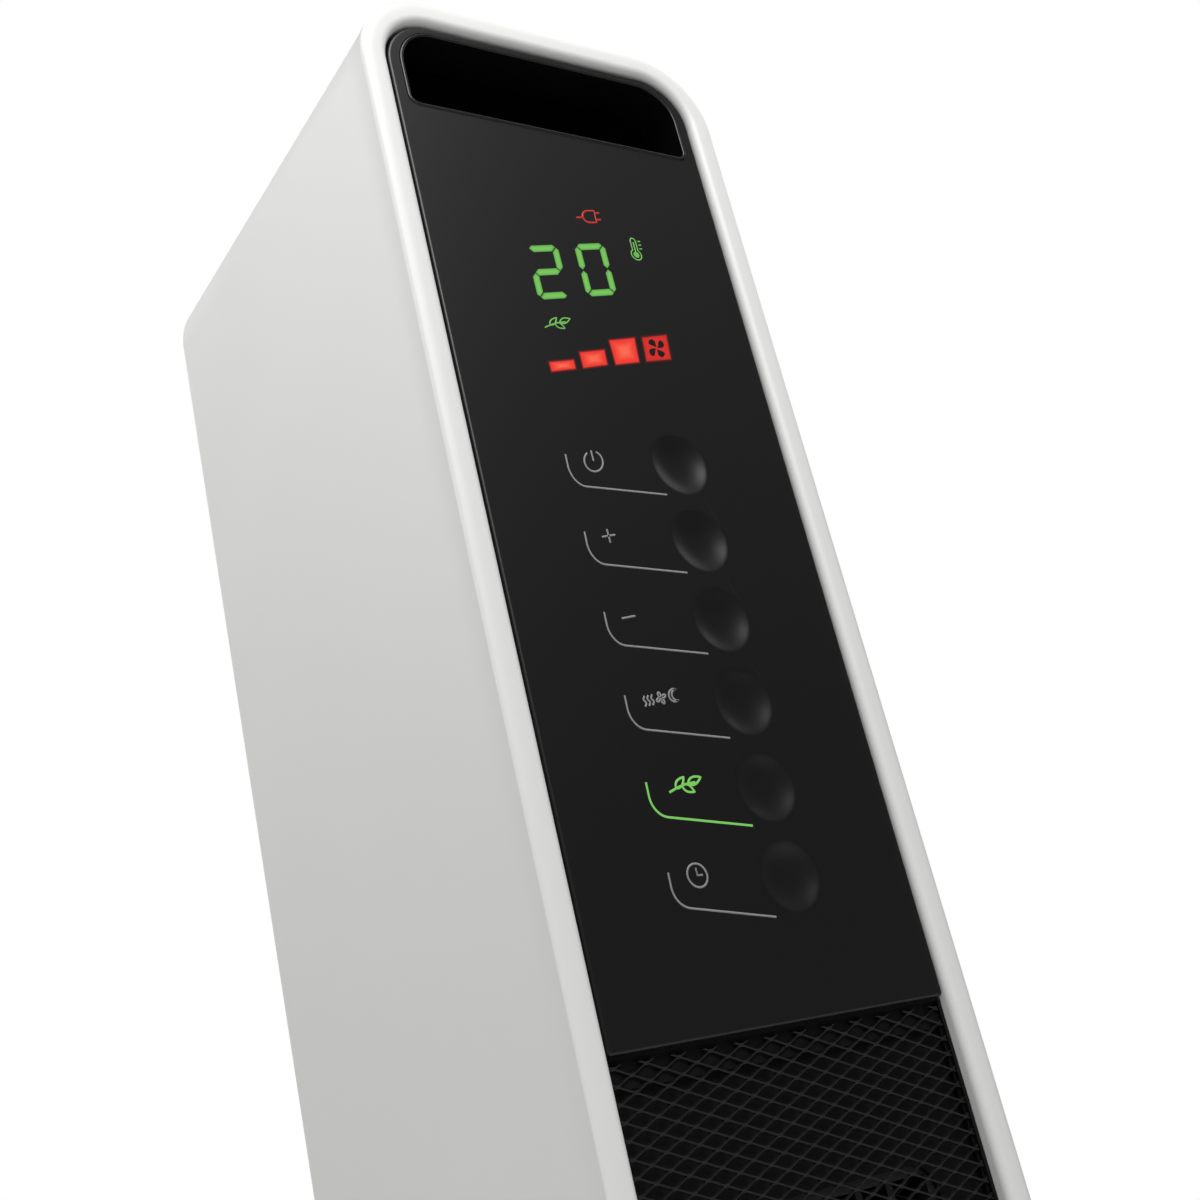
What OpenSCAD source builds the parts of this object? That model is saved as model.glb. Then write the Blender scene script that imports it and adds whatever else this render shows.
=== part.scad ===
// Ceramic tower heater: a tall sleeve with a rimmed front, a control panel with six push
// keys, an expanded-metal outlet grille, and a cross-flow blower behind a ceramic element.
// X is the width, the front looks along -Y, +Z is up, and the floor is z = 0.

/* [Body] */
// Overall width
body_w = 149; // [144:1:165]
// Overall depth, front rim to rear edge
body_d = 190; // [184:1:215]
// Overall height, floor to top
body_h = 620; // [600:5:680]
// Height of the foot under the sleeve, rubber feet included
foot_h = 12; // [10:1:18]
// Radius of the two top corners
top_r = 29.5; // [28:0.5:34]
// Radius of the two bottom corners
bottom_r = 16; // [14:0.5:22]
// Wall of the sleeve
shell_wall = 3; // [2.6:0.1:3.4]
// Width of the rim round the front
rim_w = 9.5; // [9:0.5:11]
// Thickness of the rim's front web
rim_t = 3.2; // [2.8:0.1:3.8]
// Soft outer edge of the rim
rim_fillet = 3; // [2.5:0.5:5]
// Soft inner edge of the rim
rim_edge = 3; // [1:0.25:3]
// Depth of the return behind the rim
return_d = 13; // [12:0.5:15]

/* [Panel] */
// Depth of the panel's face behind the rim
panel_recess = 2; // [1.5:0.25:3]
// Thickness of the panel
panel_t = 2.8; // [2.4:0.1:3.2]
// Gap between the rim and the panel
panel_gap = 0.9; // [0.6:0.1:1.2]
// From the lowest key's middle down to the panel's lower edge
key_foot = 43; // [40:0.5:48]
// Thickness of the key board
board_t = 1.6; // [1.2:0.1:2]
// Depth of the key board behind the panel's back
board_gap = 8.4; // [8:0.2:10]

/* [Handle] */
// Height of the grip opening
grip_h = 30.9; // [28:0.5:34]
// Depth of the grip pocket
grip_d = 46; // [40:1:52]
// Band of panel above the grip opening
grip_band = 4.6; // [4.4:0.1:5.4]
// Band of panel at each side of the grip opening
grip_side = 5.4; // [5:0.1:7]
// Rise of the finger hook inside the pocket
grip_hook = 5; // [3:0.5:5.5]
// Wall of the grip pocket
grip_wall = 1.4; // [1.2:0.1:1.6]

/* [Keys] */
// Number of keys
key_count = 6; // [4:1:6]
// Distance from key to key
key_pitch = 28.5; // [28:0.5:30]
// Drop of the first key below the top
first_key_drop = 180; // [176:1:184]
// Offset of the keys from the middle
key_x = 15.4; // [8:0.2:20]
// Radius of a key's face
key_r = 11.8; // [11:0.1:12.4]
// Depth of a key's dish
dish_d = 2.6; // [1.8:0.1:2.8]
// Clearance round a key
key_gap = 0.2; // [0.15:0.05:0.4]
// Travel of a key
key_travel = 0.8; // [0.5:0.1:1]
// Width of the light box behind the display
display_w = 72; // [66:1:80]
// Height of the light box
display_h = 84; // [78:1:90]
// From the first key's middle up to the light box
display_rise = 28; // [24:1:34]

/* [Outlet grille] */
// Length of a mesh diamond
mesh_long = 11.2; // [10:0.1:12.4]
// Height of a mesh diamond
mesh_short = 4.75; // [4.5:0.05:5.5]
// Width of a mesh strand
strand_w = 1.1; // [0.9:0.05:1.3]
// Thickness of the mesh
mesh_t = 1.2; // [1:0.1:1.4]
// How far every other row of bonds stands forward
mesh_fold = 0.5; // [0.3:0.1:0.7]
// Depth of the mesh's back behind the panel's face
mesh_recess = 4.2; // [4:0.1:4.8]
// Width of the outlet opening in the baffle
outlet_w = 90; // [84:1:96]
// From the panel's lower edge down to the outlet opening
outlet_drop = 46; // [42:0.5:52]
// Bottom of the outlet opening above the floor
outlet_bottom = 37; // [36:0.5:42]

/* [Heater and blower] */
// Depth of the heater frame
heater_d = 24; // [22:1:28]
// Thickness of a ceramic bar
stone_t = 2.6; // [2.2:0.1:3]
// Number of ceramic bars
stone_count = 6; // [4:1:7]
// Outer radius of the blower wheel
wheel_r = 29; // [27:0.5:30]
// Number of blades on the wheel
blade_count = 28; // [24:1:32]
// Thickness of a blade
blade_t = 1; // [0.8:0.1:1.2]
// Radius of the wheel's shaft
shaft_r = 3; // [2.5:0.25:4]
// Running clearance round the shaft
shaft_fit = 0.05; // [0.02:0.01:0.1]
// Distance from the wheel's axis to the front rim
wheel_back = 96; // [94:1:104]
// Radius of the motor
motor_r = 30; // [28:1:32]
// Height of the motor
motor_h = 34; // [28:1:38]

/* [Rear] */
// Thickness of the rear cover
cover_t = 4; // [3:0.5:5]
// Depth of the rear cover behind the sleeve's edge
cover_inset = 3; // [3:0.5:5]
// Height of the intake
intake_h = 192; // [170:2:200]
// Width of the intake
intake_w = 104; // [96:1:108]
// Distance from louvre to louvre
louvre_pitch = 9.6; // [8.8:0.2:12]
// Radius of the cord's hole
cord_r = 3.6; // [3:0.1:4.5]

/* [Hidden] */
$fn = 96;
KEYS = ["key_power", "key_plus", "key_minus", "key_mode", "key_eco", "key_timer"];

// Depths are counted from the front rim
front_y = -body_d / 2;
shell_z0 = foot_h;
inner_w = body_w - 2 * rim_w;
inner_z0 = shell_z0 + rim_w;
inner_z1 = body_h - rim_w;
inner_rt = top_r - rim_w;
inner_rb = bottom_r - rim_w;
return_t = 2.4;

// Front frame
frame_gap = 0.4;
frame_wall = 1.6;
ledge_w = 2.2;
ledge_v0 = panel_recess + panel_t;
ledge_v1 = ledge_v0 + 3.2;
mesh_back = panel_recess + mesh_recess;
flange_t = 2.5;
frame_w = inner_w - 2 * frame_gap;

// Panel
panel_w = inner_w - 2 * panel_gap;
panel_z1 = inner_z1 - panel_gap;
panel_rt = inner_rt - panel_gap;
panel_edge = 0.9;
board_v = ledge_v0 + board_gap;
panel_bottom = key_z(key_count - 1) - key_foot;
display_z0 = key_z(0) + display_rise;
display_z1 = display_z0 + display_h;
board_edge = 6;
board_z0 = key_z(key_count - 1) - key_r - 4.2;
board_z1 = display_z1 + board_edge;
post_r = 3;
post_x = 46;

// Grip
grip_w = inner_w - 2 * grip_side;
grip_z1 = inner_z1 - grip_band;
grip_z0 = grip_z1 - grip_h;
grip_rt = inner_rt - grip_band;
grip_rb = 4;
grip_proud = 0.3;
hook_v0 = return_d + flange_t + 1.5;

// Keys
tact_h = 3.6;
cell_w = (display_w - 12) / 3;
cell_h = (display_h - 6) / 3;
stem_r = 1.7;
dish_r = key_r - 0.5;
key_body = ledge_v0 - panel_recess + 0.15;
key_flange = 1.3;

// Grille and baffle: the diamonds' size is set so that the same part of a cell ends each
// edge, and the openings are what is left between strands of strand_w
outlet_top = panel_bottom - outlet_drop;
grille_w = inner_w - 4;
grille_z0 = inner_z0 + 2;
grille_z1 = panel_bottom - 2.2;
grille_rb = max(inner_rb - 2, 1);
edge_x = 0.25;
edge_z = 0.17;
mesh_cols = round(grille_w / mesh_long - edge_x);
mesh_rows = round((grille_z1 - grille_z0) / mesh_short - edge_z);
cell_x = grille_w / (mesh_cols + edge_x);
cell_z = (grille_z1 - grille_z0) / (mesh_rows + edge_z);
hole_share = 1 - strand_w * norm([cell_x, cell_z]) / (cell_x * cell_z);
hole_x = cell_x / 2 * hole_share;
hole_z = cell_z / 2 * hole_share;
baffle_t = 1.5;
baffle_w = frame_w - 2 * frame_wall - 0.4;
baffle_z1 = panel_bottom + 8;
outlet_r = 9;

// Heater
heater_v0 = ledge_v1 + baffle_t;
heater_v1 = heater_v0 + heater_d;
heater_wall = 5;
stack_w = outlet_w - 6;
stack_z0 = outlet_bottom + 3;
stack_z1 = outlet_top - 3;
fin_w = (stack_w - stone_count * stone_t) / (stone_count + 1);
fin_d = 15;
fin_v0 = heater_v0 + 4;
fin_pitch = 3.5;
fin_run = 1.1;
cutout_z = stack_z1 - 18;
cutout_v = fin_v0 + fin_d;

// Blower
wheel_y = front_y + wheel_back;
casing_t = 2;
casing_z0 = outlet_bottom - 2;
casing_z1 = outlet_top + 1;
wheel_z0 = casing_z0 + casing_t + 1.6;
wheel_z1 = casing_z1 - 1.6;
throat = 2.6;
casing_v0 = heater_v1;
disc_t = 1.5;
hub_r = 7;
motor_z0 = casing_z1 + casing_t + 4;
mouth_x = stack_w / 2 + 1;
mouth_y = front_y + casing_v0 - wheel_y;
blade_in = wheel_r * 0.74;
bush_r = 6;
plan_r = motor_r + 9;
ear_x = outlet_w / 2 + heater_wall / 2;
ear_z = [casing_z0 + 25, casing_z1 - 25];
ear_t = 2.5;
leg_x = 26;
lug_ring = motor_r + 4;
lug_r = 4.5;
lug_t = 3;

// Rear
cover_gap = 0.35;
cover_v1 = body_d - cover_inset;
cover_v0 = cover_v1 - cover_t;
cover_w = body_w - 2 * (shell_wall + cover_gap);
cover_z0 = shell_z0 + shell_wall + cover_gap;
cover_z1 = body_h - shell_wall - cover_gap;
cover_rt = top_r - shell_wall - cover_gap;
cover_rb = bottom_r - shell_wall - cover_gap;
intake_z0 = outlet_bottom + 8;
intake_z1 = intake_z0 + intake_h;
boss_x = body_w / 2 - shell_wall - 5;
boss_z = [shell_z0 + 24, (shell_z0 + body_h) / 2, body_h - 34];
switch_z = intake_z1 + 36;
switch_x = 30;
switch_w = 19;
switch_h = 12.6;
well_w = switch_w - 2.4;
well_h = switch_h - 2.4;
rocker_v = cover_v1 - 3;
rocker_half = well_w / 2 - 1.1;
pin_r = 1;
rocker_tilt = 10;
filter_t = 3;
cord_z = shell_z0 + 16;
cord_x = -38;
power_z0 = switch_z + 26;
power_h = 130;
power_z1 = power_z0 + power_h;
relay_w = 18;
relay_h = 22;
relay_d = 15;
sink_w = 52;
sink_h = 44;
sink_d = 20;
sensor_x = -(intake_w + body_w - 2 * shell_wall) / 4;
power_v = cover_v0 - 32;
power_x = 42;

// Foot
foot_w = body_w - 34;
foot_d = body_d - 24;
foot_r = 16;
pad_r = 8;
pad_h = 3;
screw_x = foot_w / 2 - 22;
screw_y = foot_d / 2 - 30;
self_tap = 0.05;

function key_z(i) = body_h - first_key_drop - i * key_pitch;
function arc(r, a0, a1, n) = [for (i = [0:n]) let (a = a0 + (a1 - a0) * i / n) r * [cos(a), sin(a)]];

// Flat rounded rectangle, w wide about the middle, with its own top and bottom corner radii
module rounded(w, z0, z1, rt, rb) {
  translate([-w / 2, z0 + rb]) square([w, z1 - z0 - rt - rb]);
  translate([-w / 2 + rt, z1 - rt]) square([w - 2 * rt, rt]);
  translate([-w / 2 + rb, z0]) square([w - 2 * rb, rb]);
  for (s = [-1, 1]) {
    translate([s * (w / 2 - rt), z1 - rt]) circle(rt);
    translate([s * (w / 2 - rb), z0 + rb]) circle(rb);
  }
}

// Stands a flat XZ shape up between two depths behind the front rim
module upright(v0, v1) {
  translate([0, front_y + v1, 0]) rotate([90, 0, 0]) linear_extrude(v1 - v0) children();
}

module slab(w, z0, z1, rt, rb, v0, v1) {
  upright(v0, v1) rounded(w, z0, z1, rt, rb);
}

// Bar along Y, a round one, from depth v0 to v1
module post(x, z, r, v0, v1) {
  translate([x, front_y + v1, z]) rotate([90, 0, 0]) cylinder(r = r, h = v1 - v0);
}

// Block from depth v0 to v1
module block(x0, x1, z0, z1, v0, v1) {
  translate([x0, front_y + v0, z0]) cube([x1 - x0, v1 - v0, z1 - z0]);
}

// Runs a flat section, drawn as [inward, depth], round a rounded rectangle: four exact
// straight runs and four exact quarter turns
module ring(w, z0, z1, rt, rb) {
  for (m = [0, 1]) mirror([m, 0, 0]) {
    translate([w / 2, front_y, z0 + rb]) linear_extrude(z1 - z0 - rt - rb)
      mirror([1, 0]) children();
    for (c = [[rt, z1 - rt, 0], [rb, z0 + rb, -90]])
      translate([w / 2 - c[0], front_y, c[1]]) rotate([90, 0, 0]) rotate([0, 0, c[2]])
        rotate_extrude(angle = 90) translate([c[0], 0]) rotate(180) children();
  }
  translate([w / 2 - rt, front_y, 0]) rotate([0, -90, 0]) linear_extrude(w - 2 * rt)
    translate([z1, 0]) mirror([1, 0]) children();
  translate([w / 2 - rb, front_y, 0]) rotate([0, -90, 0]) linear_extrude(w - 2 * rb)
    translate([z0, 0]) children();
}

// What a fillet of radius r takes off the corner at the origin
module nick(r) {
  difference() {
    translate([-1, -1]) square(r + 1);
    translate([r, r]) circle(r);
  }
}

// ---------------------------------------------------------------- casing

// Section of the sleeve: wall, rim web, return, and the ledge that carries the rear cover
module shell_section() {
  difference() {
    union() {
      square([rim_w, rim_t]);
      square([shell_wall, body_d]);
      translate([rim_w - return_t, 0]) square([return_t, return_d]);
      translate([0, cover_v0 - 3]) square([shell_wall + 3, 3]);
    }
    nick(rim_fillet);
    translate([rim_w, 0]) mirror([1, 0]) nick(rim_edge);
  }
}

module outer_shell() color("#e8e8e8") difference() {
  union() {
    ring(body_w, shell_z0, body_h, top_r, bottom_r) shell_section();
    for (s = [-1, 1], z = boss_z) intersection() {
      union() {
        post(s * boss_x, z, 4.5, cover_v0 - 16, cover_v0);
        block(min(s * boss_x, s * (body_w / 2 - 1)), max(s * boss_x, s * (body_w / 2 - 1)),
          z - 2, z + 2, cover_v0 - 16, cover_v0);
      }
      slab(body_w - shell_wall, shell_z0 + 1, body_h - 1, top_r - 1, bottom_r - 1,
        cover_v0 - 16, cover_v0);
    }
    for (x = [-screw_x, screw_x], y = [-screw_y, screw_y])
      translate([x, y, shell_z0 + 1]) cylinder(r = 4.5, h = 14);
  }
  for (s = [-1, 1], z = boss_z) post(s * boss_x, z, 1.4, cover_v0 - 14, cover_v0 + 1);
  for (x = [-screw_x, screw_x], y = [-screw_y, screw_y])
    translate([x, y, shell_z0 - 1]) cylinder(r = 1.6, h = 14);
}

// Carrier inside the rim: a ledge for panel and grille and a flange behind the return
module front_frame() color("#141414") difference() {
  union() {
    ring(frame_w, inner_z0 + frame_gap, inner_z1 - frame_gap, inner_rt - frame_gap,
      inner_rb - frame_gap) union() {
        translate([0, ledge_v0]) square([frame_wall, return_d + flange_t - ledge_v0]);
        translate([0, ledge_v0]) square([ledge_w, ledge_v1 - ledge_v0]);
        translate([-return_t, return_d]) square([return_t + frame_wall, flange_t]);
      }
    block(-frame_w / 2 + 1, frame_w / 2 - 1, panel_bottom - 9, panel_bottom + 9,
      ledge_v0, ledge_v1);
  }
  block(-grille_w / 2 - 0.3, grille_w / 2 + 0.3, grille_z0 - 0.3, panel_bottom - 1,
    ledge_v0 - 2, mesh_back);
  for (s = [-1, 1]) post(s * post_x, panel_bottom + 4, 1.3, ledge_v0 - 1, ledge_v1 + 1);
}

// Opening of the grip, grown by a margin
module grip_shape(grow, rise) {
  rounded(grip_w + 2 * grow, grip_z0 - grow, grip_z1 + grow + rise, grip_rt + grow,
    grip_rb + grow);
}

module control_panel() color("#1b1b1d") difference() {
  union() {
    ring(panel_w, panel_bottom, panel_z1, panel_rt, 1.2)
      translate([0, panel_recess]) difference() {
        square([1.1, panel_t]);
        nick(panel_edge);
      }
    slab(panel_w - 2, panel_bottom + 1, panel_z1 - 1, panel_rt - 1, 0.2, panel_recess,
      ledge_v0);
    for (s = [-1, 1], z = [board_z0 + board_edge, board_z1 - board_edge])
      post(s * post_x, z, post_r, ledge_v0 - 0.5, board_v);
  }
  upright(panel_recess - 1, ledge_v0 + 1) grip_shape(grip_wall + 0.15, 0);
  for (i = [0:key_count - 1])
    post(key_x, key_z(i), key_r + key_gap, panel_recess - 1, ledge_v0 + 1);
  for (s = [-1, 1], z = [board_z0 + board_edge, board_z1 - board_edge])
    post(s * post_x, z, 1.2, ledge_v0 + 1.2, board_v + 1);
}

// Grip pocket: a collar that lines the panel's opening and a cup with a finger hook
module handle_pocket() color("#0b0b0b") {
  difference() {
    union() {
      upright(panel_recess - grip_proud, panel_recess + grip_d + grip_wall)
        grip_shape(grip_wall, 0);
      upright(hook_v0, panel_recess + grip_d + grip_wall)
        grip_shape(grip_wall, grip_hook);
      slab(grip_w - 4, grip_z0 - 12, grip_z0 + 4, 2, 2, ledge_v0, ledge_v0 + 2);
    }
    upright(panel_recess - 1, panel_recess + grip_d) grip_shape(0, 0);
    upright(hook_v0 + grip_wall + 0.6, panel_recess + grip_d) grip_shape(0, grip_hook);
  }
}

// ---------------------------------------------------------------- controls

// Light box behind the dead-front part of the panel
module display_module() color("#303236") difference() {
  slab(display_w, display_z0, display_z1, 3, 3, ledge_v0, board_v);
  for (c = [-1:1], r = [-1:1])
    light_cell(c * cell_w, (display_z0 + display_z1) / 2 + r * cell_h);
}

module light_cell(x, z) {
  block(x - cell_w / 2 + 2, x + cell_w / 2 - 2, z - cell_h / 2 + 3, z + cell_h / 2 - 3,
    ledge_v0 - 1, board_v - 2);
}

module control_board() color("#1f5a36") difference() {
  slab(2 * (post_x + board_edge), board_z0, board_z1, 2, 2, board_v, board_v + board_t);
  for (s = [-1, 1], z = [board_z0 + board_edge, board_z1 - board_edge])
    post(s * post_x, z, 1.6, board_v - 1, board_v + board_t + 1);
}

// Push switches on the key board, each with the bore that a key's stem slides in
module tact_switches() color("#202020")
  for (i = [0:key_count - 1]) difference() {
    block(key_x - 3.1, key_x + 3.1, key_z(i) - 3.1, key_z(i) + 3.1, board_v - tact_h, board_v);
    post(key_x, key_z(i), stem_r + 0.15, board_v - tact_h - 1, board_v - tact_h + 2.6);
  }

// Round dished key with a flange behind the panel and a stem in its switch
function dish(r) = dish_d * pow(1 - pow(r / dish_r, 2), 1.35);
module key(i) color("#1b1b1d") translate([key_x, front_y + panel_recess, key_z(i)])
  rotate([-90, 0, 0]) rotate_extrude() polygon(concat(
    [for (k = [0:14]) let (r = dish_r * k / 14) [r, dish(r)]],
    [[key_r, 0.15], [key_r, key_body], [key_r + 1.6, key_body],
      [key_r + 1.6, key_body + key_flange], [stem_r, key_body + key_flange],
      [stem_r, ledge_v0 - panel_recess + board_gap - tact_h + 1.4],
      [0, ledge_v0 - panel_recess + board_gap - tact_h + 1.4]]));

// ---------------------------------------------------------------- outlet

// One opening of the grille
module diamond() {
  polygon([[-hole_x, 0], [0, -hole_z], [hole_x, 0], [0, hole_z]]);
}

// Sheet the grille is cut from: folded at every half pitch, so that each row of bonds lies
// behind or before the next
module mesh_sheet() {
  last = 2 * mesh_rows + 1;
  z = [for (j = [0:last]) min(grille_z0 + j * cell_z / 2, grille_z1)];
  v = [for (j = [0:last]) mesh_back - j % 2 * mesh_fold];
  translate([-grille_w / 2, front_y, 0]) rotate([90, 0, 90]) linear_extrude(grille_w)
    polygon(concat([for (j = [0:last]) [v[j], z[j]]],
      [for (j = [last:-1:0]) [v[j] - mesh_t, z[j]]]));
}

// Expanded-metal grille: a staggered lattice of diamonds, cut off through the openings at
// its edges
module front_mesh() color("#2a2a2c") difference() {
  intersection() {
    mesh_sheet();
    slab(grille_w, grille_z0, grille_z1, 1, grille_rb, mesh_back - mesh_t - mesh_fold - 1,
      mesh_back + 1);
  }
  upright(mesh_back - mesh_t - mesh_fold - 1, mesh_back + 1)
    for (half = [0, 0.5], i = [half - 1:mesh_cols], j = [-half:mesh_rows + 1])
      translate([(i + (1 + edge_x) / 2) * cell_x - grille_w / 2, grille_z0 + j * cell_z])
        diamond();
}

// Dark plate close behind the grille, with the hot air outlet
module outlet_baffle() color("#262628") difference() {
  slab(baffle_w, grille_z0 + 1, baffle_z1, 1, grille_rb, ledge_v1, heater_v0);
  slab(outlet_w, outlet_bottom, outlet_top, outlet_r, outlet_r, ledge_v1 - 1, heater_v0 + 1);
  for (s = [-1, 1]) post(s * post_x, panel_bottom + 4, 1.6, ledge_v1 - 1, heater_v0 + 1);
}

module heater_frame() color("#3a3a3a") difference() {
  slab(outlet_w + 2 * heater_wall, outlet_bottom - heater_wall, outlet_top + heater_wall,
    3, 3, heater_v0, heater_v1);
  slab(stack_w, stack_z0, stack_z1, 1, 1, heater_v0 - 1, heater_v1 + 1);
  for (s = [-1, 1], z = ear_z) post(s * ear_x, z, 1.3, heater_v1 - 10, heater_v1 + 1);
  for (i = [1:stone_count]) terminal(i, 0.2);
}

function fin_x(i) = -stack_w / 2 + i * (fin_w + stone_t);

// Folded aluminium fins: one zigzag strip in each gap between the ceramic bars
module heater_fins() color("#b9bcc0") {
  folds = floor((stack_z1 - stack_z0 - 1) / fin_pitch);
  for (i = [0:stone_count]) upright(fin_v0, fin_v0 + fin_d) {
    edge = [for (k = [0:folds])
      [fin_x(i) + (k % 2 == 0 ? 0.05 : fin_w - fin_run - 0.05), stack_z0 + 0.5 + k * fin_pitch]];
    polygon(concat(edge, [for (k = [folds:-1:0]) edge[k] + [fin_run, 0]]));
  }
}

// Ceramic heating bars, which stand between the fins
module heater_stones() color("#d9d4c8")
  for (i = [1:stone_count]) block(fin_x(i) - stone_t, fin_x(i), stack_z0, stack_z1, fin_v0,
    fin_v0 + fin_d);

// Flat tab on the back of a ceramic bar that leaves through the top of the frame
module terminal(i, grow) {
  block(fin_x(i) - stone_t / 2 - 0.4 - grow, fin_x(i) - stone_t / 2 + 0.4 + grow,
    stack_z1 - 6 - grow, outlet_top + heater_wall + 9, fin_v0 + fin_d,
    fin_v0 + fin_d + 2.5 + grow);
}

module heater_terminals() color("#c8a040") for (i = [1:stone_count]) terminal(i, 0);

// Bimetal disc on a strap across a corner of the frame
module thermal_cutout() color("#8a5a2a") {
  post(-stack_w / 2 + 14, cutout_z, 6.5, cutout_v, cutout_v + 4);
  block(-stack_w / 2, -stack_w / 2 + 24, cutout_z - 2, cutout_z + 2, cutout_v + 4,
    cutout_v + 4.8);
}

// ---------------------------------------------------------------- blower

function spiral(a) = wheel_r + 3.5 + (100 - a) / 120 * (mouth_x - wheel_r - 4);

// Scroll wall: a spiral that opens from the rear round to the right side of the mouth
scroll = [for (a = [-20:12:100]) (spiral(a) + casing_t) * [cos(a), sin(a)]];
module scroll_wall() {
  inner = [for (k = [len(scroll) - 1:-1:0]) scroll[k] * (1 - casing_t / norm(scroll[k]))];
  polygon(concat(scroll, inner, [[mouth_x, mouth_y + 5], [mouth_x, mouth_y],
    [mouth_x + casing_t, mouth_y], [mouth_x + casing_t, mouth_y + 6]]));
}

// Tongue: the wall close to the wheel on the left side of the mouth
module tongue() {
  lip_r = wheel_r + throat;
  polygon(concat([[-mouth_x, mouth_y], [-mouth_x, mouth_y + 5]], arc(lip_r, 226, 176, 8),
    arc(lip_r + casing_t, 176, 218, 7),
    [[-mouth_x - casing_t, mouth_y + 6], [-mouth_x - casing_t, mouth_y]]));
}

module casing_plan() {
  circle(plan_r);
  polygon(concat([[-mouth_x - casing_t, mouth_y + 6], [-mouth_x - casing_t, mouth_y],
    [mouth_x + casing_t, mouth_y], [mouth_x + casing_t, mouth_y + 6]], scroll,
    [[-wheel_r - throat, 0]]));
}

module at_wheel(z) {
  translate([0, wheel_y, z]) children();
}

module fan_casing() color("#3c3f44") difference() {
  union() {
    at_wheel(casing_z0) linear_extrude(casing_t) casing_plan();
    at_wheel(casing_z0) linear_extrude(casing_z1 - casing_z0) {
      scroll_wall();
      tongue();
    }
    at_wheel(casing_z0 - 7.5) cylinder(r = bush_r + 2.5, h = 8.5);
    for (x = [-leg_x, leg_x]) translate([x, wheel_y, shell_z0 + shell_wall])
      cylinder(r = 4, h = casing_z0 - shell_z0 - shell_wall + 0.5);
    for (s = [-1, 1], z = ear_z) block(min(s * (mouth_x + 1), s * (ear_x + heater_wall / 2)),
      max(s * (mouth_x + 1), s * (ear_x + heater_wall / 2)), z - 5, z + 5, casing_v0,
      casing_v0 + ear_t);
  }
  at_wheel(casing_z0 - 6) cylinder(r = bush_r, h = 10);
  for (s = [-1, 1], z = ear_z) post(s * ear_x, z, 1.5, casing_v0 - 1, casing_v0 + 4);
}

// Places one thing at each of the motor's three fixings
module at_lugs(z) {
  for (a = [30, 150, 270]) at_wheel(z) rotate(a) translate([lug_ring, 0, 0]) children();
}

module casing_lid() color("#44474c") difference() {
  at_wheel(casing_z1) linear_extrude(casing_t) casing_plan();
  at_wheel(casing_z1 - 1) cylinder(r = hub_r + 4, h = casing_t + 2);
  at_lugs(casing_z1 - 1) cylinder(r = 1.3, h = casing_t + 2);
}

// One blade of the wheel: a thin arc, hollow side forward
module blade() {
  bow = 3.2;
  mid = [for (k = [0:5]) let (t = k / 5) [blade_in + t * (wheel_r - 0.6 - blade_in),
    bow * (4 * t * (1 - t)) * 0.5 + 4.2 * t]];
  polygon(concat(mid, [for (k = [5:-1:0]) mid[k] + [0, blade_t]]));
}

module blower_wheel() color("#55585e") difference() {
  union() {
    at_wheel(wheel_z0) linear_extrude(wheel_z1 - wheel_z0) for (i = [0:blade_count - 1])
      rotate(i * 360 / blade_count) blade();
    for (z = [wheel_z0, wheel_z1 - disc_t]) at_wheel(z) cylinder(r = wheel_r, h = disc_t);
    for (z = [1, 2]) at_wheel(wheel_z0 + z * (wheel_z1 - wheel_z0) / 3) linear_extrude(disc_t)
      difference() {
        circle(wheel_r);
        circle(blade_in - 1.5);
      }
    at_wheel(wheel_z0) cylinder(r = hub_r, h = 10);
    at_wheel(wheel_z1 - 10) cylinder(r = hub_r, h = 10);
  }
  at_wheel(wheel_z0 - 1) cylinder(r = shaft_r, h = 10);
  at_wheel(wheel_z1 - 9) cylinder(r = hub_r - 2, h = 10);
}

// Rubber hub that takes the motor's shaft
module wheel_hub() color("#202020") at_wheel(wheel_z1 - 9) difference() {
  cylinder(r = hub_r - 2, h = 9);
  translate([0, 0, 1]) cylinder(r = shaft_r, h = 9);
}

module motor_shaft() color("#c0c0c0") at_wheel(wheel_z1 - 8)
  cylinder(r = shaft_r, h = motor_z0 + motor_h + 5 - wheel_z1 + 8);

module stub_axle() color("#c0c0c0") at_wheel(casing_z0 - 4.8)
  cylinder(r = shaft_r, h = wheel_z0 + 9 - casing_z0 + 4.8);

module shaft_bush() color("#b08a4a") at_wheel(casing_z0 - 6) difference() {
  cylinder(r = bush_r, h = 7.5);
  translate([0, 0, 1]) cylinder(r = shaft_r + shaft_fit, h = 8);
}

module fan_motor() color("#8d9096") difference() {
  union() {
    at_wheel(motor_z0) cylinder(r = motor_r - 3, h = 3);
    at_wheel(motor_z0 + 3) cylinder(r = motor_r, h = motor_h - 6);
    at_wheel(motor_z0 + motor_h - 3) cylinder(r = motor_r - 3, h = 3);
    at_wheel(motor_z0 + motor_h - 1) cylinder(r = 9, h = 4);
    at_lugs(motor_z0) cylinder(r = lug_r, h = lug_t);
    for (a = [30, 150, 270]) at_wheel(motor_z0) rotate(a) translate([motor_r - 8, -lug_r, 0])
      cube([12, 2 * lug_r, lug_t]);
  }
  at_wheel(motor_z0 - 1) cylinder(r = shaft_r + shaft_fit, h = motor_h + 5);
  at_lugs(motor_z0 - 1) cylinder(r = 1.6, h = lug_t + 2);
}

// Rubber rings between motor and lid, one at each screw
module motor_dampers() color("#181818") at_lugs(casing_z1 + casing_t) difference() {
  cylinder(r = lug_r, h = motor_z0 - casing_z1 - casing_t);
  translate([0, 0, -1]) cylinder(r = 1.6, h = 6);
}

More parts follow.
